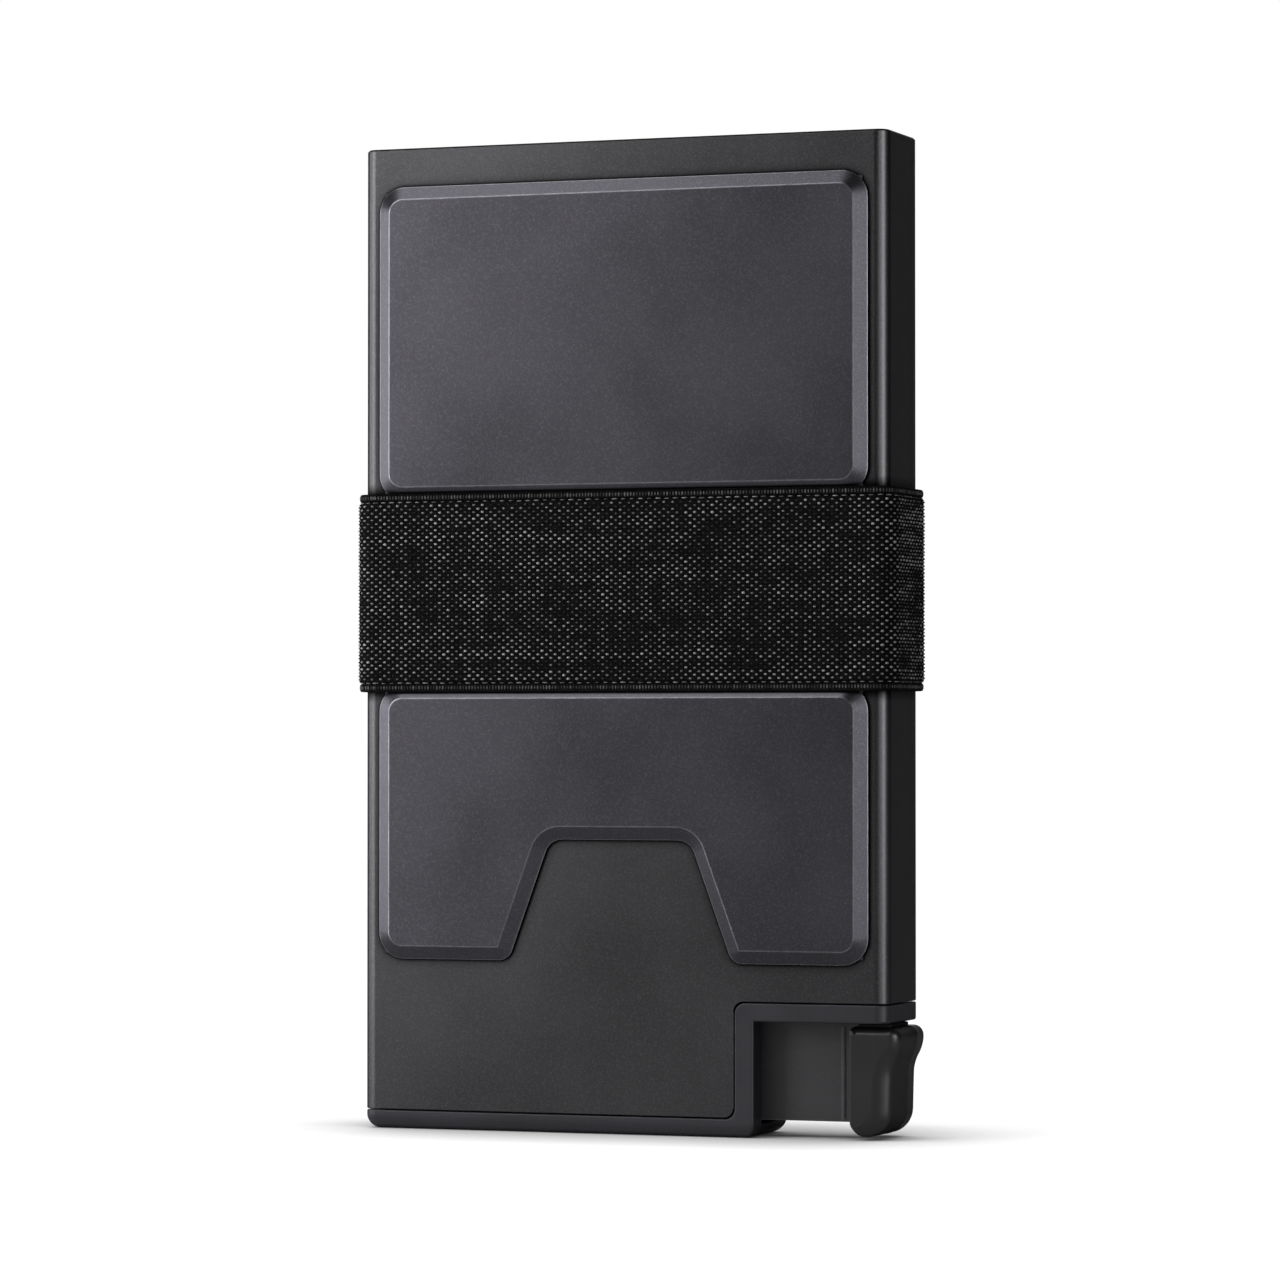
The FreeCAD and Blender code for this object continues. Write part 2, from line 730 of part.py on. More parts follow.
def make_bumpers():
    """Rubber pads on the carrier's block: one under the arm, one in the way of the web."""
    rest = new_body("rest_bumper")
    section = rectangle(
        rest, "XZ_Plane", "block_left", "block_right", "block_top", "arm_bottom - running_gap"
    )
    pad(rest, section, "lever_thickness", "Symmetric")
    travel = new_body("travel_bumper")
    section = rectangle(
        travel, "XZ_Plane", "block_right", "block_right + bumper_thickness",
        "bumper_foot", "bumper_foot + bumper_height"
    )
    pad(travel, section, "lever_thickness", "Symmetric")


def make_screws(label, length, places, turn):
    """A group of countersunk socket screws; each place is the centre of a head's face."""
    screws = []
    for number, place in enumerate(places):
        head = doc.addObject("Part::Cylinder", f"{label}_head_{number}")
        head.setExpression("Radius", bound("head_radius"))
        head.setExpression("Height", bound("head_depth"))
        shank = doc.addObject("Part::Cylinder", f"{label}_shank_{number}")
        shank.setExpression("Radius", bound("screw_radius"))
        shank.setExpression("Height", bound(length))
        whole = doc.addObject("Part::Fuse", f"{label}_blank_{number}")
        whole.Base = head
        whole.Tool = shank
        socket = doc.addObject("Part::Prism", f"{label}_socket_{number}")
        socket.Polygon = 6
        socket.setExpression("Circumradius", bound("socket_radius"))
        socket.setExpression("Height", bound("head_depth * 0.8"))
        screw = doc.addObject("Part::Cut", f"{label}_screw_{number}")
        screw.Base = whole
        screw.Tool = socket
        screw.Placement = FreeCAD.Placement(Vector(), turn)
        for axis, formula in zip("xyz", place):
            screw.setExpression(f"Placement.Base.{axis}", bound(formula))
        screws.append(screw)
    group = keep(doc.addObject("Part::Compound", label), label)
    group.Links = screws
    return group


# Plates, films and band ----------------------------------------------------------------------


def plate_outline(foot, top, cut):
    """Corners of a plate, clockwise from the lower left, with the thumb cut-out where it has one."""
    half = "plate_width / 2"
    corners = [(f"-{half}", foot), (f"-{half}", top), (half, top), (half, foot)]
    if cut:
        corners += [
            ("cut_foot_width / 2", foot),
            ("cut_top_width / 2", f"{foot} + cut_height"),
            ("-cut_top_width / 2", f"{foot} + cut_height"),
            ("-cut_foot_width / 2", foot),
        ]
    return corners


def plate_blank(body, foot, top, cut, inner, thickness, inset):
    """Flat plate with its corners rounded, drawn in by inset all round."""
    outline = plate_outline(foot, top, cut)
    pad(body, polygon(body, "XZ_Plane", outline, inner), thickness)
    half = "plate_width / 2"
    groups = [([(f"-{half}", foot), (f"-{half}", top), (half, top), (half, foot)], "plate_corner")]
    if cut:
        groups += [(outline[5:7], "cut_top_corner"), ([outline[4], outline[7]], "cut_foot_corner")]
    for places, radius in groups:
        tests = [runs_along("Y", x=across, z=up) for across, up in places]
        dress(body, "Fillet", pick(body, any_of(tests)), radius)
    return body


def make_plate(label, foot, top, cut):
    """Bevelled face plate."""
    body = new_body(label)
    plate_blank(body, foot, top, cut, "plate_back", "plate_thickness", 0)
    bevel = dress(body, "Chamfer", pick(body, lies_on("Y", "-plate_face")), "plate_thickness - plate_edge")
    bevel.ChamferType = "Two distances"
    bevel.setExpression("Size2", bound("bevel_width"))
    doc.recompute()
    dress(body, "Fillet", pick(body, lies_on("Y", "-plate_face")), "face_soften")
    return body


def make_film(label, foot, top, cut):
    """Adhesive film between a plate and the sleeve, a little smaller than the plate."""
    body = new_body(label)
    low = f"{foot} + cut_height + film_inset" if cut else f"{foot} + film_inset"
    half = "(plate_width / 2 - film_inset)"
    pieces = [(f"-{half}", half, low, f"{top} - film_inset")]
    if cut:
        leg = "(cut_foot_width / 2 + film_inset)"
        pieces += [(f"-{half}", f"-{leg}", f"{foot} + film_inset", low)]
        pieces += [(leg, half, f"{foot} + film_inset", low)]
    for left, right, bottom, upper in pieces:
        pad(body, rectangle(body, "XZ_Plane", left, right, bottom, upper, "half_depth"), "film_thickness")
    return body


def make_elastic_band():
    """Woven loop round the sleeve, lapped and sewn at the back, thinned where it lies on the bevels."""
    body = new_body("elastic_band")
    reach = "half_width + band_gap + band_thickness"
    outer = rectangle(body, "XY_Plane", f"-({reach})", reach, "-band_outer", "band_outer", "band_foot")
    pad(body, outer, "band_top - band_foot")
    dress(body, "Fillet", pick(body, runs_along("Z")), "case_corner + band_gap + band_thickness")
    hole = "half_width + band_gap"
    inner = rectangle(body, "XY_Plane", f"-({hole})", hole, "-band_inner", "band_inner", "band_foot")
    pocket(body, inner, "band_top - band_foot", backwards=True)
    dress(body, "Fillet", pick(body, at_corners(hole, "band_inner")), "case_corner + band_gap")
    lap = rectangle(
        body, "XZ_Plane", "-seam_width / 2", "seam_width / 2", "band_foot", "band_top", "-band_outer"
    )
    pad(body, lap, "band_thickness", backwards=True)
    slope = "((plate_thickness - plate_edge) / bevel_width)"
    foot_rise = "plate_back + plate_edge + band_gap"
    edges = (("band_top", 1, "upper_plate_foot"), ("band_foot", -1, "lower_plate_top"))
    for edge_z, away, plate_z in edges:
        wedge = [
            ("-half_depth", f"{plate_z} - {away} * band_gap"),
            (f"-({foot_rise})", f"{plate_z} - {away} * band_gap"),
            (f"-({foot_rise}) - (band_lap + band_gap) * {slope}", f"{edge_z}"),
            (f"-({foot_rise}) - (band_lap + band_gap) * {slope}", f"{edge_z} + {away}"),
            ("-half_depth", f"{edge_z} + {away}"),
        ]
        half = "plate_width / 2 + band_gap"
        pocket(body, polygon(body, "YZ_Plane", wedge), f"2 * ({half})", "Symmetric")
    return body


def make_band_stitching():
    """Two columns of thread across the lap."""
    threads = []
    rows = int(value("band_top - band_foot - 2 * stitch_pitch") / value("stitch_pitch")) + 1
    middle = "(band_top + band_foot) / 2"
    for side in (-1, 1):
        for row in range(rows):
            thread = doc.addObject("Part::Cylinder", "thread")
            thread.setExpression("Radius", bound("stitch_radius"))
            thread.setExpression("Height", bound("stitch_length"))
            lift = f"{middle} + ({row} - {(rows - 1) / 2}) * stitch_pitch - stitch_length / 2"
            thread.setExpression("Placement.Base.x", bound(f"{side} * (seam_width / 2 - stitch_inset)"))
            thread.setExpression("Placement.Base.y", bound("band_outer + band_thickness + stitch_radius"))
            thread.setExpression("Placement.Base.z", bound(lift))
            threads.append(thread)
    group = keep(doc.addObject("Part::Compound", "band_stitching"), "band_stitching")
    group.Links = threads
    return group


# Card springs and felt -----------------------------------------------------------------------


def make_card_spring(label, side):
    """Leaf spring with its flat ends in the sleeve's recess and its bowed middle in the pocket."""
    body = new_body(label)
    seat = "cavity_half_width + recess_depth - fit_gap"
    crown = "cavity_half_width - leaf_bow"
    stations = [
        ("-leaf_length / 2", seat),
        ("leaf_foot - leaf_length / 2", seat),
        ("-leaf_length / 6", crown),
        ("leaf_length / 6", crown),
        ("leaf_length / 2 - leaf_foot", seat),
        ("leaf_length / 2", seat),
    ]
    outer = [(f"{side} * ({across})", f"leaf_middle + {up}") for up, across in stations]
    inner = [
        (f"{side} * ({across} - leaf_thickness)", f"leaf_middle + {up}")
        for up, across in reversed(stations)
    ]
    pad(body, polygon(body, "XZ_Plane", outer + inner), "leaf_width", "Symmetric")
    return body


def make_felt(label, side):
    """Felt strip glued inside the mouth."""
    body = new_body(label)
    strip = rectangle(
        body, "XZ_Plane", "-felt_length / 2", "felt_length / 2", "felt_top - felt_height", "felt_top",
        f"{-side} * cavity_half_depth"
    )
    pad(body, strip, "felt_thickness", backwards=side < 0)
    return body


make_case_tube()
make_bottom_cap()
make_card_rest()
make_chassis_front()
make_chassis_rear()
make_eject_lever()
make_pivot_pin()
make_lever_bush()
make_return_spring()
make_trigger_grip()
make_bumpers()
make_screws(
    "chassis_screws", "screw_length", [(across, "-insert_half_depth", up) for across, up in CARRIER_SCREWS],
    FreeCAD.Rotation(Vector(1, 0, 0), -90),
)
make_screws(
    "cap_screws", "screw_length",
    [("block_middle", "0", "0"), ("rest_middle", "0", "0")], FreeCAD.Rotation()
)
make_film("bond_film_upper", "upper_plate_foot", "upper_plate_top", False)
make_film("bond_film_lower", "lower_plate_foot", "lower_plate_top", True)
make_plate("front_plate_upper", "upper_plate_foot", "upper_plate_top", False)
make_plate("front_plate_lower", "lower_plate_foot", "lower_plate_top", True)
make_elastic_band()
make_band_stitching()
make_card_spring("card_spring_left", -1)
make_card_spring("card_spring_right", 1)
make_felt("felt_strip_front", -1)
make_felt("felt_strip_rear", 1)
doc.recompute()

for item in doc.Objects:
    if "Invalid" in item.State or "Error" in item.State:
        raise RuntimeError(f"{item.FullName} failed: {item.State} {item.getStatusString()}")
for item in SUB_PARTS:
    if item.Shape.isNull() or not item.Shape.isValid():
        raise RuntimeError(f"{item.Label} has no valid shape")

os.makedirs("parts", exist_ok=True)
for item in SUB_PARTS:
    item.Shape.exportStep(f"parts/{item.Label}.step")
    box = item.Shape.BoundBox
    print(f"{item.Label}: {len(item.Shape.Solids)} solid(s), {item.Shape.Volume:.1f} mm3, "
          f"{box.XMin:.2f}..{box.XMax:.2f}, {box.YMin:.2f}..{box.YMax:.2f}, {box.ZMin:.2f}..{box.ZMax:.2f}")
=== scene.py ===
import math
import random

import bmesh
import bpy
from mathutils import Matrix, Vector, noise


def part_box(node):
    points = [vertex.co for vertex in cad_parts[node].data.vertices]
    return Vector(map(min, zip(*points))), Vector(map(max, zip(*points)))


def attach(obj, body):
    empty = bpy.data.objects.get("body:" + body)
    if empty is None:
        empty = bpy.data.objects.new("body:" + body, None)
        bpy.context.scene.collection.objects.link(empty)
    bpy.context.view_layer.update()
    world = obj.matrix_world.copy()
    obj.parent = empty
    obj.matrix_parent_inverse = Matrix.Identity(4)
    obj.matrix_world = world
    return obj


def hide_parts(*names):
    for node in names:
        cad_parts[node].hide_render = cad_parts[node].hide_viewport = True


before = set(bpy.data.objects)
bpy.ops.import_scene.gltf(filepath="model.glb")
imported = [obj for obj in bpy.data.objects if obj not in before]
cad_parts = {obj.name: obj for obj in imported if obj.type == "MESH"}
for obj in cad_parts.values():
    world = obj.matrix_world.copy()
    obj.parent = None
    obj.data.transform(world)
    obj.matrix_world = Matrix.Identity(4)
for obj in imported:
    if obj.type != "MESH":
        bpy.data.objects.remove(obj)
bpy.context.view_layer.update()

# Card case with a squeeze trigger, about as large as a phone's lower half: an aluminium sleeve with
# two bevelled plates, an elastic band round its waist and a sprung lever in its lower right corner.


# Camera -------------------------------------------------------------------------------------
# A long lens at half the case's height, about twenty degrees round to its right side.

camera_data = bpy.data.cameras.new("camera")
camera_data.lens = 147.2
camera_data.sensor_width = 36.0
camera = bpy.data.objects.new("camera", camera_data)
camera.location = (0.195387, -0.521414, 0.042193)
looking_along = Vector((-0.35060, 0.93635, 0.01798))
camera.rotation_euler = looking_along.to_track_quat("-Z", "Y").to_euler()
bpy.context.scene.collection.objects.link(camera)
bpy.context.scene.camera = camera
bpy.context.scene.view_settings.view_transform = "Standard"


# Studio -------------------------------------------------------------------------------------
# A white sweep and surround, at full white to camera, mirror and glass rays and plainer as light.
# Soft lamps stand round the case. A dark tent of six walls, a roof and a floor, which only
# reflections see, keeps everything but the lamps out of the metal.

surround_light = 0.42
floor_reach = 12.0
floor_white = 0.86
floor_fill = 0.7
sweep_glow = 1.29
# Reach and depth of the painted shadow that darkens the sweep round the case's foot.
painted_shadow_reach = 0.02
painted_shadow_depth = 1.8
lamp_target = Vector((0, 0, 0.05))


def new_material(name):
    """An empty node material with its output, and the two calls that its makers need."""
    material = bpy.data.materials.new(name)
    material.use_nodes = True
    tree = material.node_tree
    tree.nodes.clear()
    output = tree.nodes.new("ShaderNodeOutputMaterial")
    return material, tree, output


def object_of(name, mesh):
    """A linked object that holds the bmesh, which is freed."""
    data = bpy.data.meshes.new(name)
    mesh.to_mesh(data)
    mesh.free()
    made = bpy.data.objects.new(name, data)
    bpy.context.scene.collection.objects.link(made)
    return made


def white_to_the_eye(tree):
    """One for camera, glossy and transmission rays, and zero for the rest."""
    path = tree.nodes.new("ShaderNodeLightPath")
    seen = tree.nodes.new("ShaderNodeMath")
    seen.operation = "MAXIMUM"
    tree.links.new(path.outputs["Is Camera Ray"], seen.inputs[0])
    tree.links.new(path.outputs["Is Glossy Ray"], seen.inputs[1])
    through = tree.nodes.new("ShaderNodeMath")
    through.operation = "MAXIMUM"
    tree.links.new(seen.outputs[0], through.inputs[0])
    tree.links.new(path.outputs["Is Transmission Ray"], through.inputs[1])
    return through.outputs[0]


world = bpy.data.worlds.new("surround")
bpy.context.scene.world = world
world.use_nodes = True
world_tree = world.node_tree
world_tree.nodes.clear()
shown = world_tree.nodes.new("ShaderNodeBackground")
shown.inputs["Color"].default_value = (1, 1, 1, 1)
shown.inputs["Strength"].default_value = 1.0
lighting = world_tree.nodes.new("ShaderNodeBackground")
lighting.inputs["Color"].default_value = (1, 1, 1, 1)
lighting.inputs["Strength"].default_value = surround_light
either = world_tree.nodes.new("ShaderNodeMixShader")
world_output = world_tree.nodes.new("ShaderNodeOutputWorld")
world_tree.links.new(white_to_the_eye(world_tree), either.inputs["Fac"])
world_tree.links.new(lighting.outputs[0], either.inputs[1])
world_tree.links.new(shown.outputs[0], either.inputs[2])
world_tree.links.new(either.outputs[0], world_output.inputs["Surface"])

floor_mesh = bmesh.new()
bmesh.ops.create_grid(floor_mesh, x_segments=1, y_segments=1, size=floor_reach)
floor = object_of("floor", floor_mesh)
floor_paper, tree, output = new_material("floor_paper")
paper = tree.nodes.new("ShaderNodeBsdfDiffuse")
paper.inputs["Color"].default_value = (floor_white, floor_white, floor_white, 1)
glow = tree.nodes.new("ShaderNodeEmission")
# Painted shadow: the sweep's glow fades by ambient occlusion close to the case.
painted_shadow_ao = tree.nodes.new("ShaderNodeAmbientOcclusion")
painted_shadow_ao.samples = 8
painted_shadow_ao.inputs["Distance"].default_value = painted_shadow_reach
painted_shadow = tree.nodes.new("ShaderNodeMath")
painted_shadow.operation = "POWER"
painted_shadow.inputs[1].default_value = painted_shadow_depth
lit = tree.nodes.new("ShaderNodeMath")
lit.operation = "MULTIPLY"
lit.inputs[1].default_value = sweep_glow
share = tree.nodes.new("ShaderNodeMath")
share.operation = "MULTIPLY"
share.inputs[1].default_value = floor_fill
sweep = tree.nodes.new("ShaderNodeMixShader")
tree.links.new(painted_shadow_ao.outputs["AO"], painted_shadow.inputs[0])
tree.links.new(painted_shadow.outputs[0], lit.inputs[0])
tree.links.new(lit.outputs[0], glow.inputs["Strength"])
tree.links.new(white_to_the_eye(tree), share.inputs[0])
tree.links.new(share.outputs[0], sweep.inputs["Fac"])
tree.links.new(paper.outputs[0], sweep.inputs[1])
tree.links.new(glow.outputs[0], sweep.inputs[2])
tree.links.new(sweep.outputs[0], output.inputs["Surface"])
floor.data.materials.append(floor_paper)


def aim(thing, place, target):
    """Put a lamp or a card in its place, facing the target."""
    thing.location = place
    toward = Vector(target) - Vector(place)
    thing.rotation_euler = toward.to_track_quat("-Z", "Y").to_euler()


def softbox(name, turn, rise, distance, width, height, power):
    """A soft lamp at a turn from the front and a rise from level, which the camera doesn't see."""
    data = bpy.data.lights.new(name, "AREA")
    data.shape = "RECTANGLE"
    data.size = width
    data.size_y = height
    data.energy = power
    lamp = bpy.data.objects.new(name, data)
    bpy.context.scene.collection.objects.link(lamp)
    turn, rise = math.radians(turn), math.radians(rise)
    away = Vector((math.sin(turn) * math.cos(rise), -math.cos(turn) * math.cos(rise), math.sin(rise)))
    aim(lamp, lamp_target + away * distance, lamp_target)
    lamp.visible_camera = False
    return lamp


def dark_card(name, place, target, width, height, grey=0.02):
    """A dark card that only reflections see."""
    mesh = bmesh.new()
    bmesh.ops.create_grid(mesh, x_segments=1, y_segments=1, size=0.5)
    bmesh.ops.scale(mesh, vec=(width, height, 1), verts=mesh.verts)
    card = object_of(name, mesh)
    aim(card, place, target)
    for ray in ("camera", "diffuse", "transmission", "shadow", "volume_scatter"):
        setattr(card, f"visible_{ray}", False)
    felt, tree, output = new_material(name + "_felt")
    cloth = tree.nodes.new("ShaderNodeBsdfDiffuse")
    cloth.inputs["Color"].default_value = (grey, grey, grey, 1)
    tree.links.new(cloth.outputs[0], output.inputs["Surface"])
    card.data.materials.append(felt)


softbox("side_left_box", -80, 4, 0.35, 0.12, 0.20, 0.52)
softbox("front_left_box", -48, 6, 0.33, 0.12, 0.26, 0.94)
softbox("key_box", -30, 30, 0.35, 0.12, 0.12, 0.27)
softbox("top_box", -37, 55, 0.35, 0.20, 0.14, 0.40)
glossy_boxes = (
    ("right_box", 38, 0.10, 0.24),
    ("side_right_box", 66, 0.14, 0.86),
    ("back_box", 206, 0.20, 0.50),
)
for name, turn, width, power in glossy_boxes:
    glossy_box = softbox(name, turn, 5, 0.32, width, 0.26, power)
    glossy_box.visible_diffuse = False
tent_reach = 0.42
tent_middle = 0.20
tent_greys = (0.02, 0.02, 0.05, 0.42, 0.02, 0.02)
for number, grey in enumerate(tent_greys):
    turn = math.radians(60 * number)
    wall = Vector((math.sin(turn) * tent_reach, -math.cos(turn) * tent_reach, tent_middle))
    dark_card(f"tent_wall_{number}", wall, (0.0, 0.0, tent_middle), 0.485, 0.46, grey)
dark_card("tent_roof", (0.0, 0.0, tent_reach), (0.0, 0.0, 0.0), 2 * tent_reach, 2 * tent_reach)
dark_card(
    "tent_floor", (0.0, 0.0, 0.0006), (0.0, 0.0, -1.0), 2 * tent_reach, 2 * tent_reach, grey=0.55
)


# Sleeve -------------------------------------------------------------------------------------
# Extruded aluminium tube, open at the top, cut away round the trigger at its lower right.
# It is blasted very fine and anodised a dark neutral grey, so its drawn corners shine softly.

sleeve_grey = (0.0505, 0.0507, 0.0530, 1)
# Edge tone: paler metal where edges are scuffed, partly a painted highlight along them.
sleeve_wear_and_highlight = (0.16, 0.161, 0.164, 1)
sleeve_roughness = 0.36


def socket_value(group, side, name, kind, default=None):
    """A named socket on a node group's interface."""
    made = group.interface.new_socket(name=name, in_out=side, socket_type=kind)
    if default is not None:
        made.default_value = default
    return made


def make_blasted_grain():
    """Fine bead-blasted grain: a height for the bump, and a cloudy mask for tone and gloss."""
    group = bpy.data.node_groups.new("blasted_grain", "ShaderNodeTree")
    socket_value(group, "INPUT", "Grain Size", "NodeSocketFloat", 0.00012)
    socket_value(group, "INPUT", "Cloud Size", "NodeSocketFloat", 0.012)
    socket_value(group, "OUTPUT", "Height", "NodeSocketFloat")
    socket_value(group, "OUTPUT", "Speckle", "NodeSocketFloat")
    socket_value(group, "OUTPUT", "Cloud", "NodeSocketFloat")
    nodes, links = group.nodes, group.links
    entry = nodes.new("NodeGroupInput")
    out = nodes.new("NodeGroupOutput")
    place = nodes.new("ShaderNodeTexCoord")
    for size, target, detail in (("Grain Size", "Speckle", 2.0), ("Cloud Size", "Cloud", 3.0)):
        per_metre = nodes.new("ShaderNodeMath")
        per_metre.operation = "DIVIDE"
        per_metre.inputs[0].default_value = 1.0
        links.new(entry.outputs[size], per_metre.inputs[1])
        field = nodes.new("ShaderNodeTexNoise")
        field.inputs["Detail"].default_value = detail
        links.new(place.outputs["Object"], field.inputs["Vector"])
        links.new(per_metre.outputs[0], field.inputs["Scale"])
        links.new(field.outputs["Fac"], out.inputs[target])
        if target == "Speckle":
            links.new(field.outputs["Fac"], out.inputs["Height"])
    return group


def make_wear_highlight_and_shade():
    """Masks for scuffed edges that also paint a highlight, one at a sharp turn, and for painted shade
    in cavities, one deep in a corner.
    """
    group = bpy.data.node_groups.new("wear_highlight_and_shade", "ShaderNodeTree")
    socket_value(group, "INPUT", "Reach", "NodeSocketFloat", 0.00025)
    socket_value(group, "INPUT", "Strength", "NodeSocketFloat", 4.0)
    socket_value(group, "INPUT", "Cavity Reach", "NodeSocketFloat", 0.0009)
    socket_value(group, "INPUT", "Cavity Depth", "NodeSocketFloat", 3.0)
    socket_value(group, "OUTPUT", "Mask", "NodeSocketFloat")
    socket_value(group, "OUTPUT", "Cavity", "NodeSocketFloat")
    nodes, links = group.nodes, group.links
    entry = nodes.new("NodeGroupInput")
    out = nodes.new("NodeGroupOutput")
    # Second output: painted shade in hollows, from ambient occlusion within the given reach.
    open_sky = nodes.new("ShaderNodeAmbientOcclusion")
    open_sky.samples = 8
    steeper = nodes.new("ShaderNodeMath")
    steeper.operation = "POWER"
    covered = nodes.new("ShaderNodeMath")
    covered.operation = "SUBTRACT"
    covered.inputs[0].default_value = 1.0
    links.new(entry.outputs["Cavity Reach"], open_sky.inputs["Distance"])
    links.new(open_sky.outputs["AO"], steeper.inputs[0])
    links.new(entry.outputs["Cavity Depth"], steeper.inputs[1])
    links.new(steeper.outputs[0], covered.inputs[1])
    links.new(covered.outputs[0], out.inputs["Cavity"])
    # First output: scuffed edges, which the materials lighten also as a painted highlight.
    rounded = nodes.new("ShaderNodeBevel")
    rounded.samples = 4
    surface = nodes.new("ShaderNodeNewGeometry")
    place = nodes.new("ShaderNodeTexCoord")
    along = nodes.new("ShaderNodeVectorMath")
    along.operation = "DOT_PRODUCT"
    turn = nodes.new("ShaderNodeMath")
    turn.operation = "SUBTRACT"
    turn.inputs[0].default_value = 1.0
    gain = nodes.new("ShaderNodeMath")
    gain.operation = "MULTIPLY"
    patchy = nodes.new("ShaderNodeTexNoise")
    patchy.inputs["Scale"].default_value = 900.0
    broken = nodes.new("ShaderNodeMath")
    broken.operation = "MULTIPLY"
    broken.use_clamp = True
    links.new(entry.outputs["Reach"], rounded.inputs["Radius"])
    links.new(rounded.outputs["Normal"], along.inputs[0])
    links.new(surface.outputs["Normal"], along.inputs[1])
    links.new(along.outputs["Value"], turn.inputs[1])
    links.new(turn.outputs[0], gain.inputs[0])
    links.new(entry.outputs["Strength"], gain.inputs[1])
    links.new(place.outputs["Object"], patchy.inputs["Vector"])
    links.new(gain.outputs[0], broken.inputs[0])
    links.new(patchy.outputs["Fac"], broken.inputs[1])
    links.new(broken.outputs[0], out.inputs["Mask"])
    return group


blasted_grain = make_blasted_grain()
wear_highlight_and_shade = make_wear_highlight_and_shade()


def blend_colours(tree, first, second, mask):
    """Mix two colours by a mask socket."""
    mix = tree.nodes.new("ShaderNodeMix")
    mix.data_type = "RGBA"
    for name, colour in (("A", first), ("B", second)):
        slot = [s for s in mix.inputs if s.name == name and s.type == "RGBA"][0]
        if isinstance(colour, tuple):
            slot.default_value = colour
        else:
            tree.links.new(colour, slot)
    tree.links.new(mask, mix.inputs["Factor"])
    return [s for s in mix.outputs if s.type == "RGBA"][0]


def remap(tree, value, low, high, new_low, new_high):
    """Spread a value's range to a new one."""
    span = tree.nodes.new("ShaderNodeMapRange")
    span.inputs["From Min"].default_value = low
    span.inputs["From Max"].default_value = high
    span.inputs["To Min"].default_value = new_low
    span.inputs["To Max"].default_value = new_high
    tree.links.new(value, span.inputs["Value"])
    return span.outputs["Result"]


def place_group(tree, group, **values):
    """A shared effect placed in a material, with its own values."""
    node = tree.nodes.new("ShaderNodeGroup")
    node.node_tree = group
    for name, number in values.items():
        node.inputs[name.replace("_", " ")].default_value = number
    return node


def toned(colour, share):
    """The colour, made darker or lighter by a share."""
    return tuple(share * channel for channel in colour[:3]) + (1,)


def show_skin(tree, shader, output, height, depth, soft_edge=None):
    """Bump the shader by a height, over softened edges where a radius is given, and show it."""
    bump = tree.nodes.new("ShaderNodeBump")
    bump.inputs["Distance"].default_value = depth
    tree.links.new(height, bump.inputs["Height"])
    if soft_edge:
        rounded = tree.nodes.new("ShaderNodeBevel")
        rounded.samples = 4
        rounded.inputs["Radius"].default_value = soft_edge
        tree.links.new(rounded.outputs["Normal"], bump.inputs["Normal"])
    tree.links.new(bump.outputs["Normal"], shader.inputs["Normal"])
    tree.links.new(shader.outputs[0], output.inputs["Surface"])


def anodised(
    name, colour, worn_and_highlit, roughness, grain_size, grain_depth, edge_tint=0.5, soft_edge=0.00012,
    painted_cavity_shade=(0.0006, 2.0), rub_and_highlight=5.0,
):
    """Blasted and anodised aluminium: fine grain, faint clouds, painted shade in cavities, and
    scuffed edges lightened further as a painted highlight.
    """
    material, tree, output = new_material(name)
    shader = tree.nodes.new("ShaderNodeBsdfPrincipled")
    shader.inputs["Metallic"].default_value = 1.0
    shader.inputs["Specular Tint"].default_value = (edge_tint, edge_tint, edge_tint, 1)
    grain = place_group(tree, blasted_grain, Grain_Size=grain_size, Cloud_Size=0.014)
    wear_and_light_masks = place_group(
        tree, wear_highlight_and_shade, Reach=0.00018, Strength=rub_and_highlight, Cavity_Reach=painted_cavity_shade[0], Cavity_Depth=painted_cavity_shade[1]
    )
    cloudiness = remap(tree, grain.outputs["Cloud"], 0.3, 0.6, 0, 1)
    clouds = blend_colours(tree, toned(colour, 0.86), colour, cloudiness)
    specks = remap(tree, grain.outputs["Speckle"], 0.48, 0.8, 0, 1)
    speckled = blend_colours(tree, clouds, toned(colour, 1.5), specks)
    # Painted shade: the colour falls almost to black where ambient occlusion finds a wall close by,
    # as beside the plates.
    painted_shade_in_cavities = blend_colours(tree, speckled, toned(colour, 0.05), wear_and_light_masks.outputs["Cavity"])
    # Lightened edges: scuffed metal, and with a strong setting a painted highlight line.
    rubbed_and_highlit = blend_colours(tree, painted_shade_in_cavities, worn_and_highlit, wear_and_light_masks.outputs["Mask"])
    tree.links.new(rubbed_and_highlit, shader.inputs["Base Color"])
    gloss = remap(tree, grain.outputs["Cloud"], 0.3, 0.7, roughness - 0.02, roughness + 0.03)
    tree.links.new(gloss, shader.inputs["Roughness"])
    show_skin(tree, shader, output, grain.outputs["Height"], grain_depth, soft_edge)
    return material


def dress(node, material):
    """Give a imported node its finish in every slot."""
    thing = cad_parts[node]
    if not thing.data.materials:
        thing.data.materials.append(material)
    for slot in thing.material_slots:
        slot.material = material


# Its deep, wide setting for hollows paints a dark shade beside the plates and along the seams.
sleeve_anodised = anodised(
    "sleeve_anodised", sleeve_grey, sleeve_wear_and_highlight, sleeve_roughness, 0.00015, 0.000004,
    soft_edge=0.00005, painted_cavity_shade=(0.0012, 6.0), rub_and_highlight=1.0,
)
dress("case_tube", sleeve_anodised)


# Bevelled plates ----------------------------------------------------------------------------
# Two milled aluminium plates on the front, bonded on thin film. They are blasted coarser than
# the sleeve and anodised a warmer, slightly violet grey.

plate_grey = (0.0565, 0.0550, 0.0628, 1)
plate_wear_and_highlight = (0.34, 0.335, 0.356, 1)
